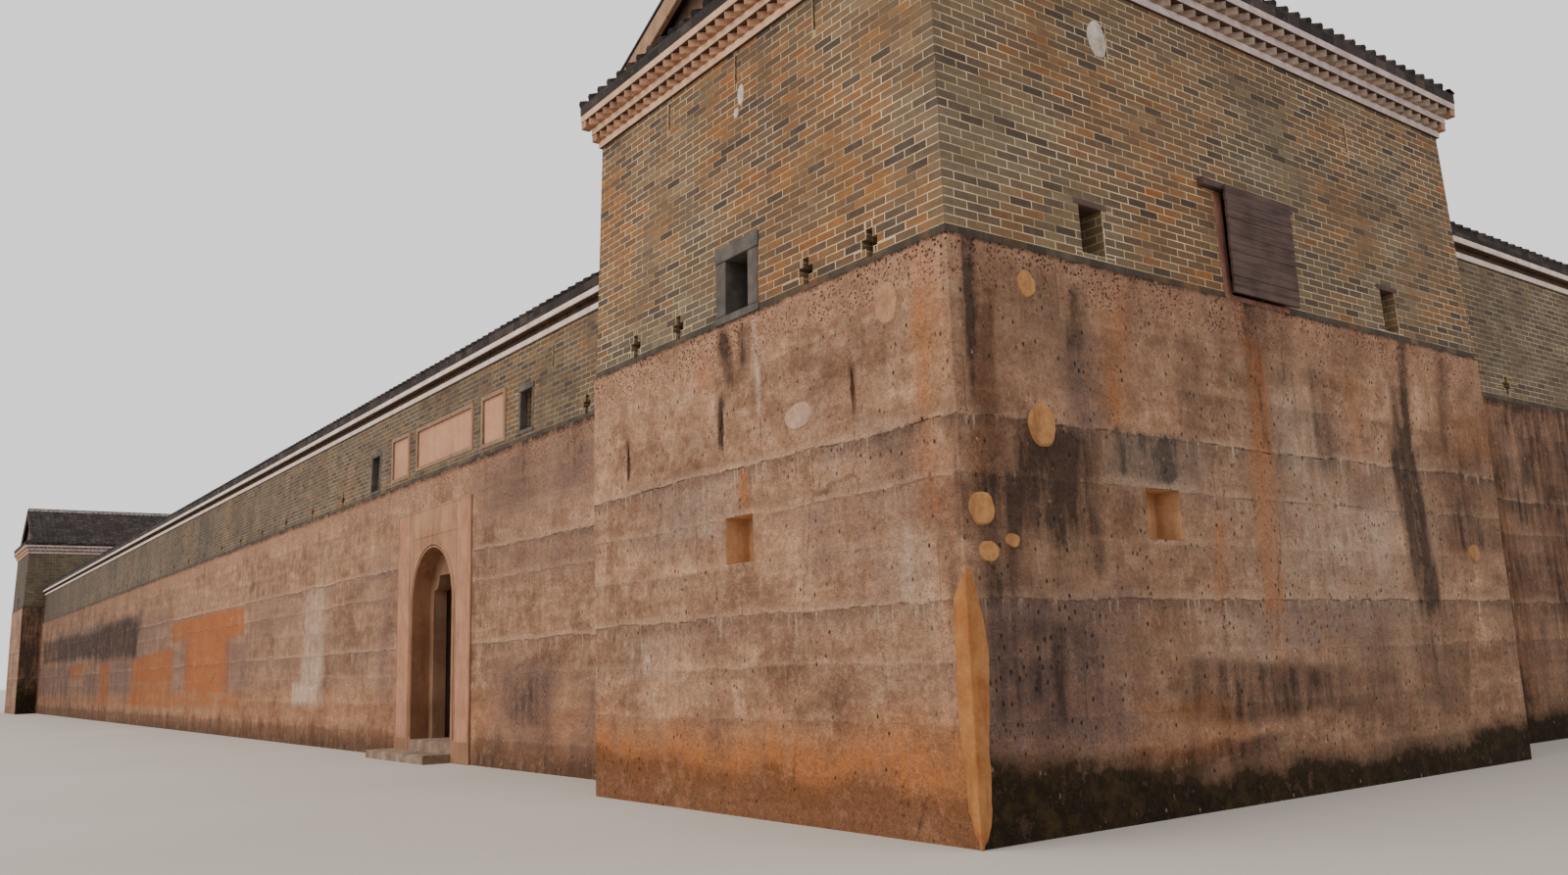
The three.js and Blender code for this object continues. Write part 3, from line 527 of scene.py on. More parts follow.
# Unglazed grey clay tiles: nearly black with lichen and soot, each fired a little differently.
def makeTile():
    material, tree, place = startMaterial("unglazed clay roof tile, sooty")
    cells = addNode(tree, "VectorMath", {"operation": "SNAP", 1: (0.11, 0.11, 0.05)}, {0: place})
    each = addNode(tree, "TexWhiteNoise", {}, {"Vector": cells})
    mottle = addNode(tree, "TexNoise", {"Scale": perSize(90), "Detail": 5, "Roughness": 0.7},
                     {"Vector": place})
    patch = addNode(tree, "TexNoise", {"Scale": perSize(900), "Detail": 4, "Roughness": 0.6},
                    {"Vector": place})
    colour = addNode(tree, "ValToRGB", {"stops": [(0, "#1f1a19"), (0.45, "#2e2624"), (0.8, "#3d3330"),
                                                  (1, "#4d3f38")]}, {"Fac": each})
    lichen = makeMask(tree, (mottle, 0.55, 0.72, 0, 0.5))
    colour = addNode(tree, "MixRGB", {"Color2": "#6e665c"}, {"Fac": lichen, "Color1": colour})
    black = makeMask(tree, (patch, 0.45, 0.65, 0, 0.6))
    colour = addNode(tree, "MixRGB", {"Color2": "#1d1918"}, {"Fac": black, "Color1": colour})
    endMaterial(tree, colour, mottle, 0.002, 0.88)
    return material


# Sawn boards left to the weather: dark, dry, with open grain along the board.
def makeTimber(name, pale, dark, stretch, size=45):
    material, tree, place = startMaterial(name)
    run = addNode(tree, "Mapping", {"Scale": stretch}, {"Vector": place})
    grain = addNode(tree, "TexNoise", {"Scale": perSize(size), "Detail": 6, "Roughness": 0.65,
                                       "Distortion": 0.4}, {"Vector": run})
    cloud = addNode(tree, "TexNoise", {"Scale": perSize(300), "Detail": 3}, {"Vector": place})
    tone = addNode(tree, "Math", {"operation": "MULTIPLY_ADD", 1: 0.45}, {0: cloud, 2: grain})
    colour = addNode(tree, "ValToRGB", {"stops": [(0.5, dark), (0.85, pale)]}, {"Fac": tone})
    endMaterial(tree, colour, grain, 0.0015, 0.82)
    return material


shutterBoard = makeTimber("sawn softwood, oiled dark", "#5b4740", "#332421", (1, 0.07, 1))
leafPlank = makeTimber("sawn hardwood planks, dry", "#4b3c30", "#2c211a", (1, 1, 0.06))
floorBoard = makeTimber("floor boards, worn", "#6a5442", "#43342a", (0.08, 1, 1))


# Dressed granite with a tooled face: speckled with dark mica, and as grey or tan as its quarry.
def makeGranite(name, dark, body, pale):
    material, tree, place = startMaterial(name)
    speck = addNode(tree, "TexVoronoi", {"Scale": perSize(9)}, {"Vector": place})
    cloud = addNode(tree, "TexNoise", {"Scale": perSize(220), "Detail": 5, "Roughness": 0.6},
                    {"Vector": place})
    colour = addNode(tree, "ValToRGB", {"stops": [(0.3, dark), (0.5, body), (0.7, pale)]}, {"Fac": cloud})
    colour = shadeBy(tree, colour, (speck, 0.1, 0.6, 0.75, 1.1))
    endMaterial(tree, colour, cloud, 0.002, 0.8)
    return material


brick = makeBrick()
mortar = makeMortar()
brickwork = makeBrickwork()
tile = makeTile()
granite = makeGranite("tooled granite", "#3f3a36", "#4f4943", "#665f56")
stepStone = makeGranite("worn stone, trodden earth on it", "#5c4b3d", "#7d6755", "#978170")

print("stage: walls")

sides = {
    "front": (Vector((1, 0, 0)), Vector((0, -1, 0))),
    "right": (Vector((0, 1, 0)), Vector((1, 0, 0))),
    "back": (Vector((-1, 0, 0)), Vector((0, 1, 0))),
    "left": (Vector((0, -1, 0)), Vector((-1, 0, 0))),
}


def finishPiece(bm, name, materials, replaced=(), body="building", smooth=False):
    mesh = bpy.data.meshes.new(name)
    bm.to_mesh(mesh)
    bm.free()
    for material in materials:
        mesh.materials.append(material)
    if smooth:
        mesh.shade_smooth()
    piece = bpy.data.objects.new(name, mesh)
    bpy.context.scene.collection.objects.link(piece)
    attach(piece, body)
    if replaced:
        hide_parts(*replaced)
    return piece


# Takes flat drawings onto a wall: x runs along it, y is the height, z stands out of its face.
def faceMatrix(node, side, lean=0.0):
    along, outward = sides[side]
    low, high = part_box(node)
    reach = max(low.dot(outward), high.dot(outward))
    matrix = Matrix((along, Vector((0, 0, 1)) - outward * lean, outward)).transposed().to_4x4()
    matrix.translation = outward * (reach + lean * low.z)
    return matrix


# The outline of a CAD wall's outer face and of each hole in it, as flat drawings. It walks along the edges
# that only one face of the outer side has, and keeps the corners.
def faceLoops(node, matrix):
    bm = bmesh.new()
    bm.from_mesh(frame["nodes"][node].data)
    bmesh.ops.remove_doubles(bm, verts=bm.verts, dist=1e-5)
    bmesh.ops.transform(bm, matrix=matrix.inverted(), verts=bm.verts)
    outer = {f for f in bm.faces if all(abs(v.co.z) < 0.001 for v in f.verts)}
    bm.verts.index_update()
    ways = {}
    for edge in bm.edges:
        if sum(f in outer for f in edge.link_faces) == 1:
            a, b = (v.index for v in edge.verts)
            ways.setdefault(a, []).append(b)
            ways.setdefault(b, []).append(a)
    bm.verts.ensure_lookup_table()
    loops = []
    while ways:
        here = first = next(iter(ways))
        path = []
        while True:
            path.append(bm.verts[here].co.xy.copy())
            after = ways[here].pop()
            ways[after].remove(here)
            if not ways[here]:
                del ways[here]
            here = after
            if here == first:
                break
        if first in ways and not ways[first]:
            del ways[first]
        corners = []
        for i, point in enumerate(path):
            before, after = path[i - 1], path[(i + 1) % len(path)]
            if abs((point - before).normalized().cross((after - point).normalized())) > 1e-3:
                corners.append(point)
        loops.append(corners)
    bm.free()
    return loops


def loopBox(loop, extra=0.0):
    xs = [p.x for p in loop]
    ys = [p.y for p in loop]
    return min(xs) - extra, max(xs) + extra, min(ys) - extra, max(ys) + extra


def isNear(face, box):
    xs = [v.co.x for v in face.verts]
    ys = [v.co.y for v in face.verts]
    return max(xs) > box[0] and min(xs) < box[1] and max(ys) > box[2] and min(ys) < box[3]


def isInside(x, y, loop):
    inside = False
    for a, b in zip(loop, loop[1:] + loop[:1]):
        if (a.y > y) != (b.y > y) and x < (b.x - a.x) * (y - a.y) / (b.y - a.y) + a.x:
            inside = not inside
    return inside


# Splits the faces that an outline crosses, then takes out what lies outside the wall or in a hole.
def trim(bm, loops):
    for loop in loops:
        around = loopBox(loop, 1e-4)
        nearby = [f for f in bm.faces if isNear(f, around)]
        for a, b in zip(loop, loop[1:] + loop[:1]):
            edgeBox = loopBox([a, b], 1e-4)
            hit = [f for f in nearby if isNear(f, edgeBox)]
            geometry = list(dict.fromkeys(
                hit + [e for f in hit for e in f.edges] + [v for f in hit for v in f.verts]))
            made = bmesh.ops.bisect_plane(bm, geom=geometry, dist=1e-5, plane_co=(a.x, a.y, 0),
                                          plane_no=(b.y - a.y, a.x - b.x, 0))
            split = [g for g in made["geom"] if isinstance(g, bmesh.types.BMFace)]
            gone = set(hit)
            nearby = [f for f in nearby if f.is_valid and f not in gone] + split
    boxes = [(loop, loopBox(loop)) for loop in loops]
    outside = []
    for face in bm.faces:
        centre = face.calc_center_median()
        count = sum(1 for loop, box in boxes
                    if box[0] < centre.x < box[1] and box[2] < centre.y < box[3]
                    and isInside(centre.x, centre.y, loop))
        if count % 2 == 0:
            outside.append(face)
    bmesh.ops.delete(bm, geom=outside, context="FACES")


def addGrid(bm, x0, x1, y0, y1, columns, rows):
    matrix = Matrix.Translation(((x0 + x1) / 2, (y0 + y1) / 2, 0)) @ Matrix.Diagonal((x1 - x0, y1 - y0, 1, 1))
    bmesh.ops.create_grid(bm, x_segments=columns, y_segments=rows, size=0.5, matrix=matrix)


def joinInto(whole, part, matrix=None):
    mesh = bpy.data.meshes.new("part")
    part.to_mesh(mesh)
    part.free()
    if matrix:
        mesh.transform(matrix)
    whole.from_mesh(mesh)
    bpy.data.meshes.remove(mesh)


# Lines that tell the walls apart by place, in the frame's metres.
plan = {
    "towerSide": 15.4,     # the inner sides of the towers stand just outside this x, left and right
    "towerBack": -8.2,     # the front towers end in front of this y
    "rightWall": 17.5,     # the right wall's face is outside this x
    "wallFront": -12.295,  # the front wall's earth face is within 25 mm of this y
    "near": 0.1,           # a point this near to towerSide is on a tower's inner side
    "skin": 0.02,          # thicker than any weathered skin
}


def clamp(value, most=1):
    return min(most, max(0, value))


# How dirty the bricks are: the far ends of the long walls and the far tower are the darkest.
def dirtAt(place, normal, foot):
    if place.z < foot + bond["course"]:       # the course that stands on the earth
        return 0.95
    cloud = noise.noise(place * 0.8) * 0.25 + noise.noise(place * 3) * 0.15
    if place.x < plan["near"] - plan["towerSide"] and place.y < plan["towerBack"] and normal.x > 0.5:
        return 0.58 + cloud
    if normal.y < -0.5 and place.x < plan["towerSide"]:
        return min(0.9, 0.45 + 0.45 * (plan["towerSide"] - place.x) / 31 + cloud)
    if place.x > plan["rightWall"] and place.y > plan["towerBack"]:
        return 0.35 + cloud
    return max(0, 0.12 + cloud)


# How far an upright edge's ends are from the nearest corner of a box, seen from above.
def cornerDistance(edge, low, high):
    return max(sum(min(abs(v.co[axis] - low[axis]), abs(v.co[axis] - high[axis])) for axis in (0, 1))
               for v in edge.verts)


# The ring of mortar at the corner's own edge takes the brick's material, so that no mortar shows there.
def turnCorner(face, painted, low, high):
    upright = [e for e in face.edges if abs(e.verts[0].co.z - e.verts[1].co.z) > bond["course"] / 2]
    arris = min(upright, key=lambda e: cornerDistance(e, low, high), default=None)
    if arris and cornerDistance(arris, low, high) < bond["arris"]:
        for beside in arris.link_faces:
            beside.material_index = 0
            painted.update(beside.verts)


# Bricks in stretcher bond over each outer CAD face, each with its own tone, warmth and dirt.
def brickSkin(name, node, faces, warmth):
    whole = bmesh.new()
    for side in faces:
        matrix = faceMatrix(node, side, batter)
        loops = faceLoops(node, matrix)
        x0, x1, y0, y1 = loopBox([p for loop in loops for p in loop])
        flat = bmesh.new()
        for row in range(math.ceil((y1 - y0) / bond["course"])):
            start = x0 - bond["length"] * (0.5 + 0.5 * (row % 2)) + 0.02 * noise.noise((row * 3.7, 1, 2))
            count = math.ceil((x1 - start) / bond["length"])
            low = y0 + row * bond["course"]
            addGrid(flat, start, start + count * bond["length"], low, low + bond["course"], count, 1)
        trim(flat, loops)
        joinInto(whole, flat, matrix @ Matrix.Translation((0, 0, bond["behind"])))
    bricks = whole.faces[:]
    ring = bmesh.ops.inset_individual(whole, faces=bricks, thickness=bond["joint"] / 2, depth=bond["relief"],
                                      use_even_offset=True)
    for face in ring["faces"]:
        face.material_index = 1
    tone, warm, grime = (whole.verts.layers.float.new(key) for key in ("tone", "warmth", "grime"))
    low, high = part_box(node)
    for face in bricks:
        centre = face.calc_center_median()
        ends = [min((centre[axis] - low[axis], high[axis] - centre[axis])) for axis in (0, 1)]
        atCorner = len(faces) == 4 and max(ends) < bond["corner"]
        pick = centre * 41.7
        if atCorner:       # a brick at a corner shows on two faces, which then share its tone
            course = math.floor((centre.z - low.z) / bond["course"])
            isRight, isBack = centre.x > low.x + 0.5, centre.y > low.y + 0.5
            pick = Vector((1.5 + 2 * isRight, 1.5 + 2 * isBack, course + 0.5))
        pick = 0.5 + 0.5 * noise.cell(pick)
        region = noise.noise(centre * 1.3) * 0.9 + noise.noise(centre * 4.1) * 0.6
        shaded = 0.27 if abs(face.normal.x) > 0.5 else 0
        warmHere = clamp(warmth[0] - shaded + warmth[1] * region)
        dirt = dirtAt(centre, face.normal, low.z)
        push = face.normal * noise.cell(centre * 67.3) * bond["uneven"] / 2
        painted = set(face.verts)
        if atCorner:
            turnCorner(face, painted, low, high)
        for vert in painted:
            vert[tone] = pick
            vert[warm] = warmHere
        for edge in face.edges:
            for beside in edge.link_faces:
                for vert in beside.verts:
                    vert[grime] = dirt
        for vert in face.verts:
            vert.co += push
    return finishPiece(whole, name, [brick, mortar])


# Stains seen on the near tower and the long front wall, in real metres from the near tower's outer
# corner: negative along the front, positive along the side. A run has its kind, the place and height of
# its upper end, the same of its lower end, its width to either side and its strength.
frontStains = [
    ("soot", -3.02, 4.42, -2.92, 3.9, 0.12, 0.85), ("soot", -2.7, 4.4, -2.68, 4.05, 0.11, 0.7),
    ("salt", -2.52, 4.4, -2.53, 3.7, 0.06, 0.5), ("ochre", -3.4, 4.3, -3.4, 4.0, 0.22, 0.35),
    ("rust", -0.26, 4.4, -0.28, 3.2, 0.2, 0.45), ("rust", -0.3, 3.1, -0.22, 1.75, 0.2, 0.35),
    ("damp", -0.95, 3.15, -0.9, 1.85, 1.0, 0.36), ("soot", -0.6, 3.1, -0.7, 2.75, 0.35, 0.35),
    ("damp", -1.75, 2.5, -1.6, 2.0, 0.3, 0.4), ("damp", -4.0, 3.1, -4.0, 2.5, 1.1, 0.5),
    ("damp", -2.9, 1.72, -2.9, 1.45, 2.2, 0.3), ("damp", -1.2, 4.0, -1.2, 3.4, 1.0, 0.12),
    ("soot", -0.03, 4.4, -0.03, 1.95, 0.05, 0.6), ("soot", -0.2, 2.3, -0.14, 1.8, 0.1, 0.5),
    ("ochre", -2.78, 3.0, -2.78, 2.72, 0.05, 0.6), ("ochre", -2.0, 2.72, -2.7, 2.68, 0.3, 0.25),
    ("salt", -3.6, 3.0, -3.6, 2.6, 0.9, 0.25), ("salt", -4.6, 1.6, -4.6, 1.2, 0.6, 0.35),
    ("salt", -0.5, 2.3, -0.45, 1.8, 0.35, 0.28), ("damp", -1.0, 1.7, -1.0, 1.1, 0.8, 0.2),
    ("foot", -3.6, 0.5, -3.6, 0.1, 0.5, 0.6), ("foot", -2.7, 0.5, -2.8, 0.1, 0.4, 0.7),
    ("foot", -1.4, 0.3, -1.4, 0.05, 0.9, 0.7), ("foot", -5.0, 0.5, -5.1, 0.1, 0.6, 0.5),
    # the last three runs ring the three slits: painted shade at their edges
    ("soot", -1.18, 3.72, -1.18, 3.34, 0.05, 1.0), ("soot", -3.11, 3.72, -3.11, 3.32, 0.05, 1.0),
    ("soot", -4.91, 3.66, -4.91, 3.26, 0.05, 1.0),
]
sideStains = [
    ("soot", 6.72, 4.5, 6.6, 3.9, 0.14, 0.9), ("soot", 6.6, 4.0, 6.5, 3.1, 0.22, 1.0),
    ("soot", 6.5, 3.2, 6.68, 1.7, 0.36, 1.0), ("soot", 6.5, 3.6, 6.62, 2.0, 0.12, 1.0),
    ("soot", 7.9, 3.1, 7.7, 2.3, 0.95, 0.6), ("soot", 1.05, 3.05, 1.0, 2.2, 0.7, 1.0),
    ("soot", 0.45, 2.6, 0.4, 1.8, 0.35, 0.75), ("soot", 1.2, 2.3, 1.2, 1.9, 0.6, 0.6),
    ("soot", 1.5, 4.3, 1.42, 3.7, 0.2, 0.7), ("soot", 0.9, 4.3, 0.9, 3.4, 1.2, 0.35),
    ("damp", 1.5, 3.8, 1.42, 3.1, 0.3, 0.6),
    ("soot", 5.0, 3.95, 5.05, 3.0, 0.22, 0.6), ("soot", 5.7, 2.95, 5.7, 2.65, 0.5, 0.4),
    ("damp", 0.8, 1.7, 0.8, 0.7, 1.2, 1.0), ("soot", 0.7, 1.6, 0.7, 0.8, 1.0, 0.55),
    ("soot", 2.3, 3.08, 2.3, 2.75, 0.8, 0.75),
    ("soot", 3.8, 1.15, 3.8, 0.75, 2.1, 0.6), ("soot", 6.7, 1.6, 6.7, 0.5, 0.8, 0.45),
    ("soot", 8.3, 2.0, 8.3, 1.0, 0.5, 0.3), ("damp", 4.6, 1.65, 4.6, 1.35, 1.6, 0.6),
    ("soot", 0.16, 4.5, 0.16, 3.3, 0.08, 1.0), ("soot", 2.9, 4.1, 2.9, 3.2, 0.3, 0.3),
    ("rust", 3.77, 4.48, 3.95, 3.6, 0.14, 1.0), ("rust", 3.95, 3.7, 3.84, 1.5, 0.2, 1.0),
    ("soot", 3.82, 4.3, 3.98, 3.2, 0.05, 0.8), ("foot", 0.36, 4.4, 0.27, 2.7, 0.2, 1.0),
    ("rust", 1.95, 4.4, 1.87, 3.2, 0.3, 0.45), ("rust", 3.1, 2.45, 3.08, 1.8, 0.1, 0.6),
    ("salt", 2.3, 3.02, 2.3, 2.7, 0.75, 0.7), ("salt", 5.8, 2.75, 5.9, 1.9, 0.3, 0.6),
    ("rust", 2.5, 0.85, 2.6, 0.5, 0.9, 0.75), ("salt", 2.3, 0.8, 2.5, 0.6, 0.7, 0.25),
    ("rust", 4.9, 1.6, 4.9, 1.3, 0.5, 0.4), ("rust", 8.3, 3.8, 8.3, 3.3, 0.9, 0.4),
    ("salt", 4.5, 3.7, 4.5, 2.8, 0.6, 0.4), ("rust", 5.6, 3.9, 5.6, 3.0, 0.25, 0.3),
    ("salt", 3.6, 1.6, 3.6, 1.2, 1.2, 0.25), ("soot", 7.6, 4.3, 7.5, 3.3, 0.14, 0.5),
    ("foot", 2.2, 0.55, 2.4, 0.4, 0.7, 0.8), ("soot", 3.2, 0.6, 3.2, 0.45, 0.7, 0.7),
]
# Boxes of newer or older earth on the long front wall: kind, left, right, low, high, strength.
frontBoxes = [
    ("ochre", -33.8, -30.3, 2.46, 3.03, 0.9), ("ochre", -30.3, -25.2, 2.38, 3.06, 0.95),
    ("ochre", -31.8, -26.5, 1.04, 2.43, 0.9), ("ochre", -40.3, -36.5, 1.32, 2.17, 0.9),
    ("ochre", -36.5, -33.4, 1.3, 2.3, 0.9), ("ochre", -40.6, -33.5, 0.62, 1.31, 0.7),
    ("ochre", -47.2, -44.8, 0.63, 2.1, 0.85), ("ochre", -55.7, -51.6, 1.68, 2.19, 0.8),
    ("ochre", -33.4, -25.4, 0.69, 1.04, 0.5), ("damp", -33.5, -31.7, 1.04, 2.49, 0.6),
    ("damp", -44.9, -40.4, 0.96, 2.12, 1.0), ("damp", -48.4, -39.0, 2.11, 3.62, 1.0),
    ("damp", -39.6, -34.0, 2.27, 3.39, 0.6), ("damp", -60.1, -45.2, 2.31, 3.61, 1.0),
    ("soot", -48.6, -39.3, 2.2, 3.55, 1.0), ("soot", -66.0, -45.6, 2.35, 3.5, 1.0),
    ("damp", -51.3, -46.9, 0.95, 1.72, 0.9), ("damp", -67.0, -55.5, 0.9, 2.3, 0.8),
    ("damp", -27.0, -24.7, 1.04, 2.32, 0.6), ("damp", -24.9, -20.3, 2.1, 3.05, 0.4),
    ("damp", -16.8, -6.0, 2.7, 3.3, 0.35), ("damp", -24.9, -15.0, 1.2, 2.0, 0.2),
    ("salt", -20.1, -18.75, 1.21, 3.05, 0.45), ("salt", -20.2, -18.9, 1.21, 1.75, 0.6),
    ("salt", -20.8, -19.1, 0.81, 1.22, 1.0), ("salt", -18.9, -18.7, 0.82, 1.12, 0.9),
    ("salt", -53.0, -47.5, 3.34, 3.46, 0.9), ("soot", -19.0, -16.8, 2.03, 2.2, 0.35),
    ("damp", -15.4, -14.9, 0.81, 3.29, 0.6), ("soot", -9.8, -9.3, 3.75, 4.5, 0.55),
    ("soot", -8.2, -7.6, 3.8, 4.55, 0.4), ("damp", -10.4, -8.5, 0.45, 1.35, 0.8),
    ("soot", -10.0, -8.7, 0.5, 1.3, 0.5), ("damp", -7.9, -6.5, 0.3, 1.2, 0.7),
    ("damp", -10.2, -6.6, 2.6, 3.1, 0.5), ("damp", -11.2, -6.5, 3.5, 4.4, 0.6),
]


# How strong a run is at one place. It fades to its sides and past both of its ends.
def runAmount(s, z, run):
    _, topAt, top, lowAt, low, width, amount = run
    down = (top - z) / (top - low)
    if not -0.25 < down < 1.25:
        return 0
    off = abs(s - (topAt + (lowAt - topAt) * down)) / width
    if off >= 1:
        return 0
    ends = min(1, (down + 0.25) * 4, (1.25 - down) * 3)
    return amount * (1 - off * off) * ends


# How strong a box is at one place. Its edge is soft, softest near the gate, and wide on the far dark fields.
def boxAmount(s, z, area):
    kind, left, right, low, high, amount = area
    isDark = kind in ("damp", "soot")
    edge = 0.7 if right > -17 and kind != "salt" else 0.55 if isDark else 0.22
    fade = 0.35 if isDark and right < -30 else 1
    inside = min((s - left) * fade, (right - s) * fade, (z - low) * 1.3, (high - z) * 1.3)
    return amount * clamp(inside / edge + 0.5)


# How high the moss climbs on the near tower's side: real distance from the corner, real height.
moist = [(0, 0.62), (0.2, 0.57), (1.6, 0.39), (2.9, 0.21), (5.2, 0.28), (8.5, 0.3)]


def footHeight(s):
    for (a, low), (b, high) in zip(moist, moist[1:]):
        if s <= b:
            return low + (high - low) * (s - a) / (b - a)
    return moist[-1][1]


relief = {
    "stand": 0.004,        # how far the weathered face stands off the CAD face, on average
    "wide": 0.0024,
    "small": 0.0014,
    "lift": 0.0012,
    "crest": 0.075,        # height of the worn band at the top
    "arris": 0.012,        # width of the crumbled edge at the near corner
    "least": 0.0006,
    "most": 0.013,
}


# How far the weathered face stands out at one place: swells, lumps, steps between lifts, a crumbling top.
def earthRelief(co, top):
    wide = noise.noise(co * 1.7) * relief["wide"]
    small = noise.noise(co * 9) * relief["small"]
    lift = math.floor((co.z - earth["firstLift"] + 0.01 * noise.noise(co * 3)) / earth["lift"])
    step = noise.cell((round(co.x / 2.6), round(co.y / 2.6), lift + 0.5)) * relief["lift"]
    worn = max(0, 1 - (top - co.z) / relief["crest"])
    rough = (noise.noise(co * 38) * 0.0045 + noise.noise(co * 80) * 0.002) * min(1, worn * 2) + 0.0025 * worn
    if co.x > cornerX - relief["arris"] and co.y < cornerY + relief["arris"]:
        rough += 0.0035 * noise.noise(co * 24) + 0.002 * noise.noise(co * 60)
    return min(relief["most"], max(relief["least"], relief["stand"] + wide + small + step + rough))


def raiseTo(amounts, kind, amount):
    amounts[kind] = max(amounts[kind], amount)


# The near tower: its runs, then moss, smoke and a bright field on the side, or a foot with a rusty glow
# on the front. Places and heights are real ones.
def paintNearTower(amounts, co, z, wander, fromCorner):
    drift = 0.1 * noise.noise((co.x * 5, co.y * 5, co.z * 1.6)) + \
        0.05 * noise.noise((co.x * 16, co.y * 16, co.z * 5))
    brushed = 1 + 0.5 * noise.noise((co.x * 14, co.y * 14, co.z * 2.5))
    for run in frontStains if fromCorner <= 0 else sideStains:
        raiseTo(amounts, run[0], min(1, runAmount(fromCorner + drift, z + wander, run) * brushed))
    if fromCorner > 0:
        amounts["moss"] = clamp((footHeight(fromCorner) + wander - z) / 0.3 + 0.6)
        clump = noise.noise((co.x * 2, co.y * 2, co.z * 1.3)) + 0.5 * noise.noise(co * 7)
        bright = max(0, 1 - abs(fromCorner - 5.1) / 2.4) * max(0, 1 - abs(z - 2.3) / 1.5)
        raiseTo(amounts, "soot", min(0.6, 0.1 + 0.5 * clump) * (1 - 0.9 * bright))
        raiseTo(amounts, "salt", 0.55 * bright)
    else:
        line = 0.3 + 0.14 * min(1, -fromCorner / 5.45)
        amounts["foot"] = clamp((line + wander * 2 - z) / 0.2 + 0.5)
        glow = clamp((1.08 + wander * 2 - z) / 0.8)
        faded = 1 - 0.65 * clamp((0.45 + wander * 2 - z) / 0.3)
        raiseTo(amounts, "rust", 0.85 * faded * glow * glow * (3 - 2 * glow))
        raiseTo(amounts, "ochre", 0.35 * faded * glow)


# The long front wall: its boxes, darker to the far end, with a splashed and tufted foot.
def paintLongFront(amounts, co, z, wander):
    fromCorner = (co.x - cornerX) / scale
    drift = wander + 0.25 * noise.noise((co.x * 6, 0, co.z * 2)) * (fromCorner > -17)
    brushed = 1 + 0.45 * noise.noise((co.x * 7, 0, co.z * 1.2)) + 0.3 * noise.noise(co * 4)
    for area in frontBoxes:
        raiseTo(amounts, area[0], min(1, boxAmount(fromCorner + drift, z + wander * 0.5, area) * brushed))
    raiseTo(amounts, "soot", 0.42 * clamp((-fromCorner - 28) / 25) * brushed)
    tufts = noise.noise((co.x * 4, 0, 3)) + 0.6 * noise.noise((co.x * 13, 0, 7))
    amounts["foot"] = clamp((0.42 + 0.2 * tufts - z) / 0.16 + 0.3)
    raiseTo(amounts, "soot", 0.5 * clamp((0.3 + 0.25 * tufts - z) / 0.2))
    amounts["rust"] = 0.35 * max(0, 1 - abs(z - 0.7) / 0.5)


# Faces that the photograph doesn't show: a mossy foot, sooty and rusty streaks from a fixed pattern.
def paintAway(amounts, co, z, wander):
    amounts["moss"] = clamp((0.35 + wander * 2 - z) / 0.2 + 0.3)
    amounts["foot"] = 0.5 * max(0, 1 - z / 1.2)
    dark = noise.noise((co.x * 1.6, co.y * 1.6, co.z * 0.25)) + 0.4 * noise.noise(co * 5)
    amounts["soot"] = clamp(dark * 0.95 + 0.08, 0.65)
    rusty = noise.noise((co.x * 2.1, co.y * 2.1, co.z * 0.2 + 9))
    amounts["rust"] = clamp(rusty - 0.2, 0.45)
    if co.x > plan["rightWall"]:
        amounts["soot"] = min(0.9, 0.3 + amounts["soot"])


# The worn band along the top, on every face.
def paintCrest(amounts, co, wander, top, stained, isFront):
    worn = ((co.z - top + relief["crest"]) / relief["crest"] + wander * 2) * 1.2
    bleached = 0.55 + (co.z - top + 0.2) / 0.2 * 0.45 + wander * 3 if co.z > top - 0.2 else 0
    amounts["crest"] = clamp(max(worn, bleached))
    if stained and co.z > top - 0.11:      # dark blotches in the crumbling top
        blotches = noise.noise(co * 11) + 0.5 * noise.noise(co * 29)
        raiseTo(amounts, "foot", clamp(blotches * 2.2 - (0.5 if isFront else 0.1), 0.9))
    # a dark line along the very top, where the brick sits on the earth
    if co.z > top - 0.01:
        amounts["soot"] = 0.9


# Writes the strength of each kind of stain at every vertex, by which face the vertex is on.
def paintEarth(bm, top, stained):
    layers = {key: bm.verts.layers.float.new(key) for key, _ in stainKinds}
    for vert in bm.verts:
        co = vert.co
        z = co.z / scale
        amounts = dict.fromkeys(layers, 0.0)
        isFront = co.y < cornerY + plan["skin"]
        isSide = co.x > cornerX - plan["skin"]
        isLongFront = abs(co.y - plan["wallFront"]) < 0.025 and abs(co.x) < plan["towerSide"] + plan["near"]
        wander = 0.12 * noise.noise(co * 3)
        if stained and (isFront or isSide):
            onFront = isFront and not (isSide and co.y > cornerY)
            fromCorner = (co.x - cornerX if onFront else co.y - cornerY) / scale
            paintNearTower(amounts, co, z, wander, fromCorner)
        elif isLongFront:
            paintLongFront(amounts, co, z, wander)
        elif abs(co.x + plan["towerSide"]) < plan["near"] and co.y < plan["towerBack"]:
            amounts["soot"] = min(1, 0.8 + wander * 2)      # the far tower's shaded side
            amounts["moss"] = clamp(0.35 + wander * 4 + (1.3 - z) / 1.2)
        elif co.x < -plan["towerSide"] and isFront:
            amounts["damp"] = clamp(0.35 + wander * 5)      # and its front
            amounts["foot"] = 0.6 * max(0, 1 - z / 0.8)
        else:
            paintAway(amounts, co, z, wander)
        paintCrest(amounts, co, wander, top, stained, isFront)
        for key, layer in layers.items():
            vert[layer] = amounts[key]


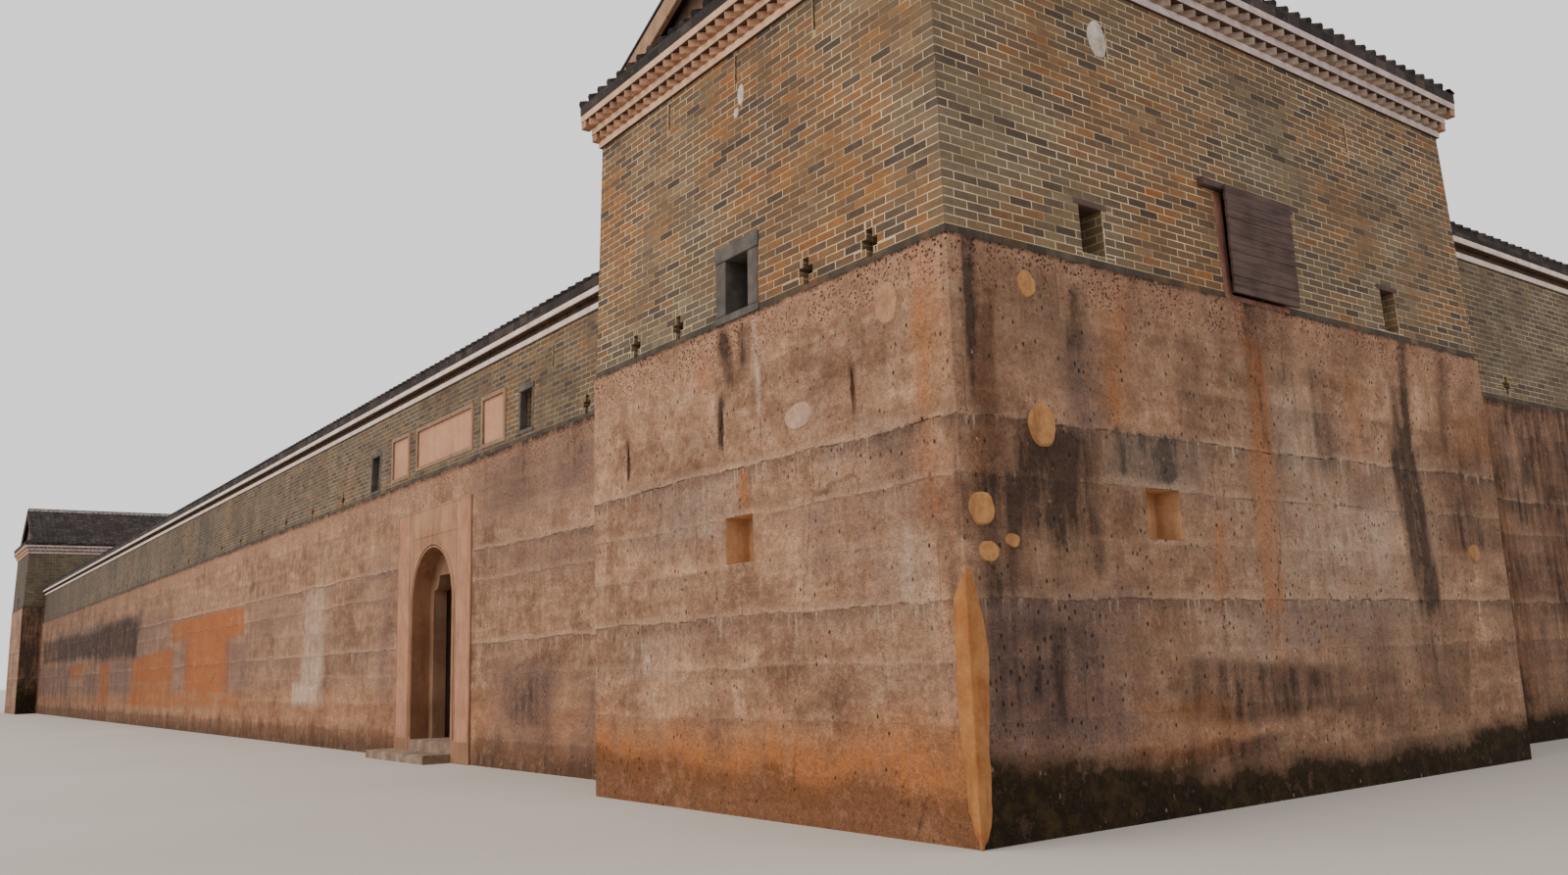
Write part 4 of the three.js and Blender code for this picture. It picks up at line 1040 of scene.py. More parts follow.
# A weathered earth face over each outer CAD face. Faces that meet at a corner are welded.
def earthSkin(name, node, faces, spacing, top, stained=False, flatLoops=None):
    whole = bmesh.new()
    for side in faces:
        matrix = faceMatrix(node, side)
        loops = flatLoops or faceLoops(node, matrix)
        x0, x1, y0, y1 = loopBox([p for loop in loops for p in loop])
        across, up = spacing[side]
        flat = bmesh.new()
        addGrid(flat, x0, x1, y0, y1, round((x1 - x0) / across), round((y1 - y0) / up))
        trim(flat, loops)
        joinInto(whole, flat, matrix)
    bmesh.ops.remove_doubles(whole, verts=whole.verts, dist=2e-4)
    whole.normal_update()
    outward = {}
    for vert in whole.verts:
        ways = {tuple(round(n) for n in face.normal) for face in vert.link_faces}
        outward[vert] = Vector([sum(way[axis] for way in ways) for axis in range(3)])
    rim = [edge for edge in whole.edges if edge.is_boundary]
    made = bmesh.ops.extrude_edge_only(whole, edges=rim)
    folded = [v for v in made["geom"] if isinstance(v, bmesh.types.BMVert)]
    isFolded = set(folded)
    for vert in folded:
        source = next(e.other_vert(vert) for e in vert.link_edges if e.other_vert(vert) not in isFolded)
        outward[vert] = outward[source] * -0.001
    for vert in whole.verts:
        push = outward[vert]
        vert.co += push if vert in isFolded else push * earthRelief(vert.co, top)
    paintEarth(whole, top, stained)
    whole.normal_update()
    for edge in whole.edges:       # the arrises stay crisp
        if edge.is_manifold and edge.calc_face_angle() > 0.9:
            edge.smooth = False
    return finishPiece(whole, name, [rammedEarth], smooth=True)


# How close the points of the earth faces stand, along and up. What the photograph shows is the finest.
nearSpacing = {"front": (0.02, 0.02), "right": (0.02, 0.02), "back": (0.1, 0.02), "left": (0.1, 0.02)}
farSpacing = {"front": (0.05, 0.045), "right": (0.05, 0.045), "back": (0.09, 0.045), "left": (0.09, 0.045)}
backSpacing = {side: (0.075, 0.07) for side in sides}
towers = {
    "front_right": {"name": "nearTower", "warmth": (0.6, 0.9), "spacing": nearSpacing, "pitch": 25},
    "front_left": {"name": "tallTower", "warmth": (0.15, 0.4), "spacing": farSpacing, "pitch": 34},
    "back_right": {"name": "backRightTower", "warmth": (0.35, 0.6), "spacing": backSpacing, "pitch": 25},
    "back_left": {"name": "backLeftTower", "warmth": (0.35, 0.6), "spacing": backSpacing, "pitch": 25},
}
for key, tower in towers.items():
    brickSkin(tower["name"] + "Brick", key + "_tower_brick_walls", sides, tower["warmth"])
    earthNode = key + "_tower_earth_walls"
    earthSkin(tower["name"] + "Earth", earthNode, sides, tower["spacing"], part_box(earthNode)[1].z,
              stained=key == "front_right")

longWalls = {"front": (0.35, 0.5), "right": (0.3, 0.6), "back": (0.25, 0.5), "left": (0.25, 0.5)}   # warmth
for side, warmth in longWalls.items():
    brickSkin(side + "WallBrick", side + "_wall_brick", (side,), warmth)


def rectangle(x0, x1, y0, y1):
    return [Vector((x0, y0)), Vector((x1, y0)), Vector((x1, y1)), Vector((x0, y1))]


# One skin covers the front wall's three nodes, with a hole for the gate surround, whose edge laps it.
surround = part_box("gate_surround")
lap = 0.02
frontTop = 2.265
frontEarthLoops = [
    rectangle(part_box("front_wall_earth_left")[0].x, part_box("front_wall_earth_right")[1].x, 0, frontTop),
    rectangle(surround[0].x + lap, surround[1].x - lap, 0, surround[1].z - lap),
]
earthSkin("frontWallEarth", "front_wall_earth_right", ("front",), {"front": (0.05, 0.05)}, frontTop,
          flatLoops=frontEarthLoops)
for side, step, up in (("right", 0.06, 0.06), ("back", 0.1, 0.08), ("left", 0.09, 0.08)):
    node = side + "_wall_earth"
    earthSkin(side + "WallEarth", node, (side,), {side: (step, up)}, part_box(node)[1].z)

print("stage: cornices")

corbels = {
    "course": 0.042,
    "towerSteps": [0.017, 0.0315, 0.048, 0.069, 0.0935],   # each course beyond the brick's top edge
    "wallSteps": [0.017, 0.002, 0.06],
    "inner": 0.25,         # from the tower's face to the inner face of the ring
    "setBack": 0.0409,     # from that face to the brick's top edge
    "pitch": {"front": 0.0845, "back": 0.0845, "right": 0.1, "left": 0.1},     # bricks laid cornerwise
    "spare": 0.1,          # the part of a toothed course without such bricks
    "square": 0.052,       # the square brick that starts it
    "toothFront": 0.003,   # how far its teeth stay behind the course above
    "toothDepth": 0.0465,
    "wear": 0.004,
}


# A box with worn edges, from its low to its high corner.
def addBlock(whole, low, high, wear=0.002, matrix=None, index=0):
    low, high = Vector(low), Vector(high)
    bm = bmesh.new()
    place = Matrix.Translation((low + high) / 2) @ Matrix.Diagonal((*(high - low), 1))
    bmesh.ops.create_cube(bm, size=1, matrix=place)
    if wear:
        bmesh.ops.bevel(bm, geom=bm.edges[:], offset=wear, affect="EDGES", segments=1, profile=0.5,
                        material=-1)
    for face in bm.faces:
        face.material_index = index
    joinInto(whole, bm, matrix)


# A course that runs round a tower, from its outer edges to the inner face.
def addRing(whole, x0, x1, y0, y1, z0, z1, inner, wear, index=0):
    bm = bmesh.new()
    addGrid(bm, x0, x1, y0, y1, 1, 1)
    centre = bm.faces[:]
    bmesh.ops.inset_region(bm, faces=centre, thickness=inner, use_boundary=True)
    bmesh.ops.delete(bm, geom=centre, context="FACES")
    bmesh.ops.translate(bm, vec=(0, 0, z0), verts=bm.verts)
    made = bmesh.ops.extrude_face_region(bm, geom=bm.faces[:], use_keep_orig=True)
    lifted = [v for v in made["geom"] if isinstance(v, bmesh.types.BMVert)]
    bmesh.ops.translate(bm, vec=(0, 0, z1 - z0), verts=lifted)
    bmesh.ops.recalc_face_normals(bm, faces=bm.faces)
    outer = [e for e in bm.edges if all(min(abs(v.co.x - x0), abs(v.co.x - x1), abs(v.co.y - y0),
                                            abs(v.co.y - y1)) < 1e-5 for v in e.verts)]
    bmesh.ops.bevel(bm, geom=outer, offset=wear, affect="EDGES", segments=2, profile=0.5, material=-1)
    for face in bm.faces:
        face.material_index = index
    joinInto(whole, bm)


# The undersides of the bands take the dark recess finish: painted shade.
def shadeSoffits(whole):
    whole.normal_update()
    for face in whole.faces:
        if face.normal.z < -0.9 and face.material_index == 0:
            face.material_index = 1


# The teeth of one course on one side of a tower: a square brick, then bricks laid cornerwise.
def addTeeth(whole, side, low, high, behind, z0, z1):
    along, outward = sides[side]
    matrix = Matrix((along, Vector((0, 0, 1)), outward)).transposed().to_4x4()
    ends = sorted((low.dot(along), high.dot(along)))
    start, stop = ends[0] + behind, ends[1] - behind
    out = max(low.dot(outward), high.dot(outward)) - behind
    finish = 2 if outward.y else 3       # the sides that face left and right take the greyer copy: painted shade
    square = corbels["square"]
    addBlock(whole, (start, z0, out - square), (start + square, z1, out), 0.002, matrix, finish)
    pitch = corbels["pitch"][side]
    half = pitch / 2 * math.sqrt(0.5)
    count = round((stop - start - corbels["spare"]) / pitch)
    for i in range(count):
        at = start + square + (stop - start - 2 * square) * (i + 0.5) / count
        shift = 0.002 * noise.noise((at * 9, z0 * 5, 3))
        place = matrix @ Matrix.Translation((at, 0, out - pitch / 2 - 0.0005 + shift))
        addBlock(whole, (-half, z0 + 0.001, -half), (half, z1, half), 0.0015,
                 place @ Matrix.Rotation(math.radians(45), 4, "Y"), finish)


# Five courses, each further out. The second and the fourth are toothed, with painted shade behind their
# teeth.
def towerCornice(key, tower):
    low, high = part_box(key + "_tower_cornice")
    steps = corbels["towerSteps"]
    reach = steps[-1]
    whole = bmesh.new()
    for course, step in enumerate(steps):
        isToothed = course % 2 == 1
        front = steps[course + 1] - corbels["toothFront"] if isToothed else step
        back = front - corbels["toothDepth"] if isToothed else step
        inset = reach - back
        z0 = low.z + course * corbels["course"]
        z1 = z0 + corbels["course"]
        inner = corbels["inner"] - (corbels["setBack"] - back)
        addRing(whole, low.x + inset, high.x - inset, low.y + inset, high.y - inset, z0, z1, inner,
                corbels["wear"], course % 2)
        if isToothed:
            for side in sides:
                addTeeth(whole, side, low, high, reach - front, z0, z1)
    shadeSoffits(whole)
    # band faces turned left or right take the greyer copy: painted shade
    for face in whole.faces:
        if face.material_index == 0 and abs(face.normal.x) > 0.7:
            face.material_index = 4
    finishes = [bandPlaster, corbelShade, corbelBrick, shadedSideCorbel, shadedSideBand]
    finishPiece(whole, tower["name"] + "Cornice", finishes, (key + "_tower_cornice",))


for key, tower in towers.items():
    towerCornice(key, tower)


# Three bands along a long wall. The middle one stands back and takes the dark recess finish: painted shadow.
def wallCornice(side):
    low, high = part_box(side + "_wall_cornice")
    along, outward = sides[side]
    matrix = Matrix((along, Vector((0, 0, 1)), outward)).transposed().to_4x4()
    start, stop = sorted((low.dot(along), high.dot(along)))
    inner, front = sorted((low.dot(outward), high.dot(outward)))
    steps = corbels["wallSteps"]
    whole = bmesh.new()
    for course, step in enumerate(steps):
        z0 = low.z + course * corbels["course"]
        addBlock(whole, (start, z0, inner), (stop, z0 + corbels["course"], front - steps[-1] + step),
                 corbels["wear"], matrix, course % 2)
    shadeSoffits(whole)
    finishPiece(whole, side + "WallCornice", [wallBand, corbelShade],
                (side + "_wall_cornice",))


for side in longWalls:
    wallCornice(side)

print("stage: roofs")

tiles = {
    "pitch": 0.11,         # between rows of cover tiles
    "radius": 0.031,
    "taper": 0.006,
    "lap": 0.1,
    "longLap": 0.2,
    "eaveBack": 0.012,     # the bedding stands back from the tile ends
    "ridgeRadius": 0.036,
    "ridgeLap": 0.16,
    "eave": 0.06,          # thickness of a roof's edge
    "seat": 0.001,         # gap between the bedding and the tiles
    "mortarHalf": 0.052,   # half the width of the mortar under the ridge tiles, and its depth
    "mortarDeep": 0.03,
    "outerPitch": math.radians(27),
    "innerPitch": math.radians(21),
}


# One row of overlapping half-round tiles from the eave (x = 0) up the slope.
def tileRow(length, radius, lap, around=4):
    laps = max(1, round(length / lap))
    rings = 2 * laps - 1
    bm = bmesh.new()
    addGrid(bm, 0, 1, 0, 1, rings, around)
    mouth = []
    for vert in bm.verts:
        ring = round(vert.co.x * rings)
        angle = math.pi * vert.co.y
        size = radius - (tiles["taper"] if ring % 2 else 0)
        if ring == 0:
            mouth.append(vert)
        vert.co = ((ring + 1) // 2 * length / laps, -math.cos(angle) * size, math.sin(angle) * size)
    mouth.sort(key=lambda v: v.co.y)
    bmesh.ops.contextual_create(bm, geom=mouth)       # the eave tile's mouth is stopped with mortar
    bm.normal_update()
    if sum(f.normal.dot(f.calc_center_median() - Vector((length / 2, 0, 0))) for f in bm.faces) < 0:
        bmesh.ops.reverse_faces(bm, faces=bm.faces)
    mesh = bpy.data.meshes.new("tileRow")
    bm.to_mesh(mesh)
    bm.free()
    return mesh


def addRow(whole, mesh, foot, up, normal):
    placed = mesh.copy()
    matrix = Matrix((up, normal.cross(up), normal)).transposed().to_4x4()
    matrix.translation = foot
    placed.transform(matrix)
    whole.from_mesh(placed)
    bpy.data.meshes.remove(placed)


pan = {"outer": 0.036, "inner": 0.027, "rise": 0.016, "thick": 0.009, "trim": 0.12}


# The lip of a concave tile between two rows, seen at the eave.
def panEnd():
    bm = bmesh.new()
    addGrid(bm, 0, 1, 0, 1, 1, 6)
    for vert in bm.verts:
        angle = math.pi * (pan["trim"] + (1 - 2 * pan["trim"]) * vert.co.y)
        size = pan["outer"] if vert.co.x > 0.5 else pan["inner"]
        vert.co = (0, -math.cos(angle) * size, pan["rise"] - math.sin(angle) * size)
    bmesh.ops.solidify(bm, geom=bm.faces[:], thickness=pan["thick"])
    bmesh.ops.recalc_face_normals(bm, faces=bm.faces)
    nearest = min(v.co.x for v in bm.verts)
    bmesh.ops.translate(bm, vec=(-nearest, 0, 0), verts=bm.verts)
    mesh = bpy.data.meshes.new("panEnd")
    bm.to_mesh(mesh)
    bm.free()
    return mesh


lip = panEnd()


# Rows from start to stop along an eave. Each row's length may depend on where it stands.
def layTiles(whole, start, stop, level, front, along, outward, pitch, lengthAt, lap, around=4, lips=True):
    up = outward * -math.cos(pitch) + Vector((0, 0, math.sin(pitch)))
    normal = up.cross(along)
    if normal.z < 0:
        normal = -normal
    front -= tiles["radius"] * math.sin(pitch)
    count = round((stop - start) / tiles["pitch"])
    made = {}
    for i in range(count + 1):
        at = start + (stop - start) * i / count
        length = round(lengthAt(at) / 0.02) * 0.02
        if length < 0.04:
            continue
        if length not in made:
            made[length] = tileRow(length, tiles["radius"], lap, around)
        sway = Vector((0, 0, 1)) * 0.0025 * noise.noise((at * 3, level, front))
        foot = along * at + outward * front + Vector((0, 0, level)) + sway
        addRow(whole, made[length], foot, up, normal)
        if lips and i < count:
            addRow(whole, lip, foot + along * (stop - start) / count / 2, -outward, Vector((0, 0, 1)))
    for mesh in made.values():
        bpy.data.meshes.remove(mesh)


# A merged copy of a roof with its eaves drawn back and its ridge lowered, to take the tiles. Its eaves
# run round it, or stand at the ends of one axis.
def roofBase(node, ridgeDrop, finishOf, axes=(0, 1)):
    low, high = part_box(node)
    bm = bmesh.new()
    bm.from_mesh(frame["nodes"][node].data)
    bmesh.ops.remove_doubles(bm, verts=bm.verts, dist=1e-5)
    for vert in bm.verts:
        for axis in axes:
            if abs(vert.co[axis] - low[axis]) < 0.003:
                vert.co[axis] += tiles["eaveBack"]
            elif abs(vert.co[axis] - high[axis]) < 0.003:
                vert.co[axis] -= tiles["eaveBack"]
        if vert.co.z > high.z - 0.002:
            vert.co.z -= ridgeDrop
    bm.normal_update()
    for face in bm.faces:
        face.material_index = finishOf(face)
    return bm


gables = {
    "verge": 0.1505,       # how far the verge stands behind the eave, and the gable's wall
    "wall": 0.2255,
    "skirtRise": 0.11,     # of the small roof under each gable
    "skirtTaper": 0.956,   # length of its end rows to their distance from the corner
    "ridgeDrop": 0.028,
    "ridgeRise": 0.022,    # the ridge tiles' axis over the peak
    "raking": ((0.016, -0.115, 0.004, 0), (0.024, -0.004, 0.014, 1)),  # half depth, foot, head, material
}


# A raking band of plaster and its tiles, down one side from the peak, cut plumb there and level at its foot.
def addVergeBand(whole, peak, lean, half, pitch, foot):
    bm = bmesh.new()
    place = Matrix.Translation(peak) @ Matrix.Rotation(lean * pitch, 4, "Y")
    x0, x1 = sorted((0, lean * half / math.cos(pitch)))
    for deep, low, high, index in gables["raking"]:
        addBlock(bm, (x0, -deep, low), (x1, deep, high), 0.003, place, index)
    for point, way in (((peak.x, 0, 0), (-lean, 0, 0)), ((0, 0, foot), (0, 0, -1))):
        bmesh.ops.bisect_plane(bm, geom=bm.verts[:] + bm.edges[:] + bm.faces[:], dist=1e-5,
                               plane_co=point, plane_no=way, clear_outer=True)
    joinInto(whole, bm)


# A gabled roof with a skirt under each gable: bedding, tiles, ridge and raking bands of plaster.
def towerRoof(key, tower):
    low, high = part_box(key + "_tower_roof")
    middle = (low.x + high.x) / 2
    half = (high.x - low.x) / 2
    pitch = math.radians(tower["pitch"])
    eaveTop = low.z + tiles["eave"]
    peak = eaveTop + half * math.tan(pitch)
    edge = gables["verge"]
    gable = gables["wall"]
    isDarkGable = key == "front_left"      # the far tower's gables take the dark finish of the shaded recesses
    verge, wall = (corbelShade, corbelShade) if isDarkGable else (gablePlaster, gableRough)

    def finishOf(face):
        centre = face.calc_center_median()
        behind = min(centre.y - low.y, high.y - centre.y)
        if abs(face.normal.y) > 0.9 and abs(behind - edge) < 0.01:
            return 1
        if abs(face.normal.y) > 0.9 and abs(behind - gable) < 0.01:
            return 2
        if centre.z > peak - tiles["mortarDeep"] and abs(centre.x - middle) < tiles["mortarHalf"]:
            return 3
        return 0

    finishPiece(roofBase(key + "_tower_roof", gables["ridgeDrop"], finishOf), tower["name"] + "RoofBase",
                [tile, verge, wall, ridgeMortar], (key + "_tower_roof",))
    whole = bmesh.new()
    level = eaveTop + tiles["seat"]
    slope = (half - 0.05) / math.cos(pitch)
    for outward in (Vector((1, 0, 0)), Vector((-1, 0, 0))):
        layTiles(whole, low.y + edge + 0.02, high.y - edge - 0.02, level, half + middle * outward.x,
                 Vector((0, 1, 0)), outward, pitch, lambda at: slope, tiles["lap"])
    skirtPitch = math.atan2(gables["skirtRise"], gable)
    for outward in (Vector((0, -1, 0)), Vector((0, 1, 0))):
        front = -low.y if outward.y < 0 else high.y
        layTiles(whole, low.x + 0.032, high.x - 0.032, level, front, Vector((1, 0, 0)), outward, skirtPitch,
                 lambda at: min(gable, (half - abs(at - middle)) * gables["skirtTaper"])
                 / math.cos(skirtPitch), tiles["lap"])
    ridge = tileRow(high.y - low.y - 2 * edge + 0.02, tiles["ridgeRadius"], tiles["ridgeLap"], 6)
    addRow(whole, ridge, Vector((middle, low.y + edge - 0.01, peak + gables["ridgeRise"])), Vector((0, 1, 0)),
           Vector((0, 0, 1)))
    finishPiece(whole, tower["name"] + "Tiles", [tile])
    bands = bmesh.new()
    for y in (low.y + edge - 0.001, high.y - edge + 0.001):
        for lean in (-1, 1):
            addVergeBand(bands, Vector((middle, y, peak)), lean, half, pitch, eaveTop + 0.03)
    finishPiece(bands, tower["name"] + "VergeBands", [verge, tile])


for key, tower in towers.items():
    towerRoof(key, tower)

rangeRidge = {
    "back": 0.375,         # from the earth's face back to the ridge
    "drop": 0.02,          # how far the bedding is lowered there
    "rise": 0.016,         # the ridge tiles' axis over the peak
}


# The roof over the rooms behind one long wall: short outer slope, long slope to the court.
def rangeRoof(side):
    node = side + "_range_roof"
    low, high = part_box(node)
    along, outward = sides[side]
    start, stop = sorted((low.dot(along), high.dot(along)))
    court, front = sorted((low.dot(outward), high.dot(outward)))
    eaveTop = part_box(side + "_wall_cornice")[1].z + tiles["eave"]
    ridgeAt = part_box(side + "_wall_earth_right" if side == "front" else side + "_wall_earth")
    face = max(ridgeAt[0].dot(outward), ridgeAt[1].dot(outward))
    ridge = face - rangeRidge["back"]
    peak = eaveTop + (front - ridge) * math.tan(tiles["outerPitch"])
    courtLevel = peak - (ridge - court) * math.tan(tiles["innerPitch"])

    def finishOf(face):
        centre = face.calc_center_median()
        isNarrow = abs(centre.dot(outward) - ridge) < tiles["mortarHalf"]
        return int(isNarrow and centre.z > peak - tiles["mortarDeep"])

    eaveAxis = 1 if outward.y else 0
    finishPiece(roofBase(node, rangeRidge["drop"], finishOf, (eaveAxis,)), side + "RangeRoofBase",
                [tile, ridgeMortar], (node,))
    whole = bmesh.new()
    outer = (front - ridge - 0.05) / math.cos(tiles["outerPitch"])
    inner = (ridge - court - 0.05) / math.cos(tiles["innerPitch"])
    first, last = start + 0.06, stop - 0.06
    layTiles(whole, first, last, eaveTop + tiles["seat"], front, along, outward, tiles["outerPitch"],
             lambda at: outer, tiles["lap"])
    cap = tileRow(stop - start - 0.04, tiles["ridgeRadius"] * 0.9, tiles["ridgeLap"] * 2, 4)
    addRow(whole, cap, along * (start + 0.02) + outward * ridge + Vector((0, 0, peak + rangeRidge["rise"])),
           along, Vector((0, 0, 1)))
    finishPiece(whole, side + "RangeTiles", [tile])
    whole = bmesh.new()
    layTiles(whole, first, last, courtLevel + tiles["seat"], -court, along, -outward,
             tiles["innerPitch"], lambda at: inner, tiles["longLap"], 3, lips=False)
    finishPiece(whole, side + "CourtTiles", [tile])


for side in sides:
    rangeRoof(side)

print("stage: openings")


# Blocks drawn flat on a wall, each from its low to its high corner, as one piece.
def wallBlocks(name, node, side, lean, blocks, materials, wear=0.003):
    matrix = faceMatrix(node, side, lean)
    whole = bmesh.new()
    for low, high, *index in blocks:
        addBlock(whole, low, high, wear, matrix, index[0] if index else 0)
    return finishPiece(whole, name, materials)


# Four dressed stones round a window: sill, lintel and two jambs. Sizes in model metres.
def stoneFrame(x, low, high, halfWidth, margin, sill, lintel, stand, deep=0.05):
    outer = halfWidth + margin
    return [
        ((x - outer - 0.006, low - sill, -deep), (x + outer + 0.006, low + 0.001, stand + 0.002)),
        ((x - outer - 0.008, high - 0.001, -deep), (x + outer + 0.008, high + lintel, stand + 0.003)),
        ((x - outer, low + 0.002, -deep), (x - halfWidth + 0.002, high - 0.002, stand)),
        ((x + halfWidth - 0.002, low + 0.002, -deep), (x + outer, high - 0.002, stand)),
    ]


towerMiddle = cornerX - 1.42
towerWindow = {"halfWidth": 0.095, "margin": 0.08, "sill": 0.038, "lintel": 0.075, "stand": 0.007}
windowFoot = 0.0425      # over the foot of the brick
windowTall = 0.275
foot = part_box("front_right_tower_brick_walls")[0].z + windowFoot
wallBlocks("nearWindowFrame", "front_right_tower_brick_walls", "front", batter,
           stoneFrame(towerMiddle, foot, foot + windowTall, **towerWindow, deep=0.22), [granite])
# the two windows of the long wall: real distance from the corner, width, sill and head
for name, distance, wide, low, high in (("rightWallWindowFrame", 9.49, 0.38, 4.7, 5.27),
                                        ("leftWallWindowFrame", 15.93, 0.42, 4.64, 5.27)):
    blocks = stoneFrame(cornerX - distance * scale, low * scale, high * scale, wide * scale / 2, margin=0.028,
                        sill=0.03, lintel=0.04, stand=0.006)
    wallBlocks(name, "front_wall_brick", "front", batter, blocks, [granite])
for key, mirrored in (("front_left", -1), ("back_right", -1), ("back_left", 1)):
    node = key + "_tower_brick_walls"
    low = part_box(node)[0].z + windowFoot
    wallBlocks(towers[key]["name"] + "WindowFrame", node, key.split("_")[0], batter,
               stoneFrame(mirrored * towerMiddle, low, low + windowTall, **towerWindow), [granite])

# side windows in real metres: from the corner, width, height, middle over the foot of the brick
sideWindows = ((1.76, 0.3, 0.43, 0.33), (6.66, 0.3, 0.47, 0.32))
lintelBoard = {"over": 0.035, "tall": 0.028, "deep": 0.12, "stand": 0.004}
for key, tower in towers.items():
    node = key + "_tower_brick_walls"
    side = key.split("_")[1]
    forward = -1 if key.startswith("front") else 1
    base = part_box(node)[0].z
    lintels = []
    for at, wide, tall, above in sideWindows:
        y = forward * (-cornerY - at * scale)
        along = y if side == "right" else -y
        top = base + (above + tall / 2) * scale
        half = wide * scale / 2 + lintelBoard["over"]
        lintels.append(((along - half, top - 0.001, -lintelBoard["deep"]),
                        (along + half, top + lintelBoard["tall"], lintelBoard["stand"])))
    wallBlocks(tower["name"] + "Lintels", node, side, batter, lintels, [shutterBoard])

# the opening of the hoist along the near tower's side, with its two jambs and its sill
hoist = {"from": -10.92, "to": -10.45, "low": 2.29, "high": 2.8, "jamb": 0.03, "deep": 0.1}
left, right, foot, jamb = hoist["from"], hoist["to"], hoist["low"], hoist["jamb"]
wallBlocks("hoistJambs", "front_right_tower_brick_walls", "right", batter, [
    ((left - jamb, foot - 0.02, -hoist["deep"]), (left + jamb, hoist["high"], 0.006)),
    ((right - 0.004, foot - 0.02, -hoist["deep"]), (right + jamb, hoist["high"], 0.006)),
    ((left - jamb, foot - jamb, -hoist["deep"]), (right + jamb, foot + 0.004, 0.008)),
], [jambPlaster])

shutterPlan = {"boards": 13, "gap": 0.0005, "wear": 0.001, "ledge": 0.04, "taper": 0.07}


# Level boards of uneven length on two ledges, and the pole they slide on, thinner at its far end.
def makeShutter():
    low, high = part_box("shutter")
    whole = bmesh.new()
    gap = shutterPlan["gap"]
    step = (high.z - low.z) / shutterPlan["boards"]
    for i in range(shutterPlan["boards"]):
        z = low.z + i * step
        push = 0.0012 * (1 + noise.cell((i + 0.5, 7.5, 1.5)))
        trimmed = 0.003 * (1 + noise.cell((i + 0.5, 3.5, 2.5)))
        addBlock(whole, (low.x + 0.006, low.y + trimmed, z + gap),
                 (high.x - push, high.y - 0.006 + trimmed, z + step - gap), shutterPlan["wear"])
    for y in (low.y + 0.07, high.y - 0.1):
        addBlock(whole, (low.x, y, low.z + 0.02), (low.x + 0.007, y + shutterPlan["ledge"], high.z - 0.02),
                 0.001)
    finishPiece(whole, "shutterBoards", [shutterBoard], ("shutter",))
    low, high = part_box("shutter_rail")
    bm = bmesh.new()
    addBlock(bm, low, high, 0)
    for vert in bm.verts:
        if vert.co.y > high.y - 0.001:
            vert.co.z = low.z + 0.006 + (vert.co.z - low.z) * 0.2
            vert.co.x = low.x + (vert.co.x - low.x) * 0.5
    bmesh.ops.bisect_plane(bm, geom=bm.verts[:] + bm.edges[:] + bm.faces[:], dist=1e-5,
                           plane_co=(0, high.y - shutterPlan["taper"], 0), plane_no=(0, 1, 0))
    for vert in bm.verts:
        if abs(vert.co.y - high.y + shutterPlan["taper"]) < 0.001:
            vert.co.z = low.z if vert.co.z < (low.z + high.z) / 2 else high.z
            vert.co.x = low.x if vert.co.x < (low.x + high.x) / 2 else high.x
    bmesh.ops.bevel(bm, geom=bm.edges[:], offset=0.002, affect="EDGES", segments=1, profile=0.5,
                    material=-1)
    finishPiece(bm, "shutterRail", [shutterBoard], ("shutter_rail",))


makeShutter()

print("stage: gate")

leaf = {
    "planks": 3,
    "gap": 0.0012,
    "wear": 0.002,
    "thick": 0.025,
    "foot": 0.165,
    "head": 1.485,
    "hingeY": -12.0275,
    "hingeX": {"left_leaf": 11.445, "right_leaf": 12.205},
    "pin": 0.014,
    "pins": ((0.1256, 0.2), (1.45, 1.5195)),     # foot and head of the lower and the upper pin
}


# Upright planks from the hinge side to the meeting side, and the two wooden pins that the leaf turns on.
def makeLeaf(name, node, body):
    hingeX, hingeY = leaf["hingeX"][body], leaf["hingeY"]
    half = leaf["thick"] / 2
    start = hingeY - half
    wide = (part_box(node)[1].y - start) / leaf["planks"]
    whole = bmesh.new()
    for i in range(leaf["planks"]):
        near, far = start + i * wide + leaf["gap"] / 2, start + (i + 1) * wide - leaf["gap"] / 2
        addBlock(whole, (hingeX - half + 0.001, near, leaf["foot"]),
                 (hingeX + half - 0.001, far, leaf["head"]), leaf["wear"])
    for foot, head in leaf["pins"]:
        bm = bmesh.new()
        bmesh.ops.create_cone(bm, cap_ends=True, segments=16, radius1=leaf["pin"], radius2=leaf["pin"],
                              depth=head - foot,
                              matrix=Matrix.Translation((hingeX, hingeY, (foot + head) / 2)))
        joinInto(whole, bm)
    finishPiece(whole, name, [leafPlank], (node,), body)


makeLeaf("leftLeafPlanks", "gate_leaf_left", "left_leaf")
makeLeaf("rightLeafPlanks", "gate_leaf_right", "right_leaf")

gate = {
    "x": 11.825,
    "strip": 0.505,        # from the middle to the fillet beside each side strip
    "edge": 0.782,         # from the middle to the outer fillet
    "fillet": 0.01,
    "stand": 0.003,
    "sunk": 0.002,         # how deep the trim goes into the plaster
    "base": 0.17,          # the fillets stand on a base this high
    "header": 1.765,
    "spring": 1.2335,
    "radius": 0.434,
    # mouldings of the arch: inner and outer distance from its edge, how far it stands out, material
    # the innermost takes the pale strip plaster as a painted highlight, the next the dark groove finish as
    # painted shadow
    "beads": ((0.002, 0.012, 0.004, 3), (0.012, 0.024, 0.002, 2), (0.024, 0.046, 0.006, 0)),
}


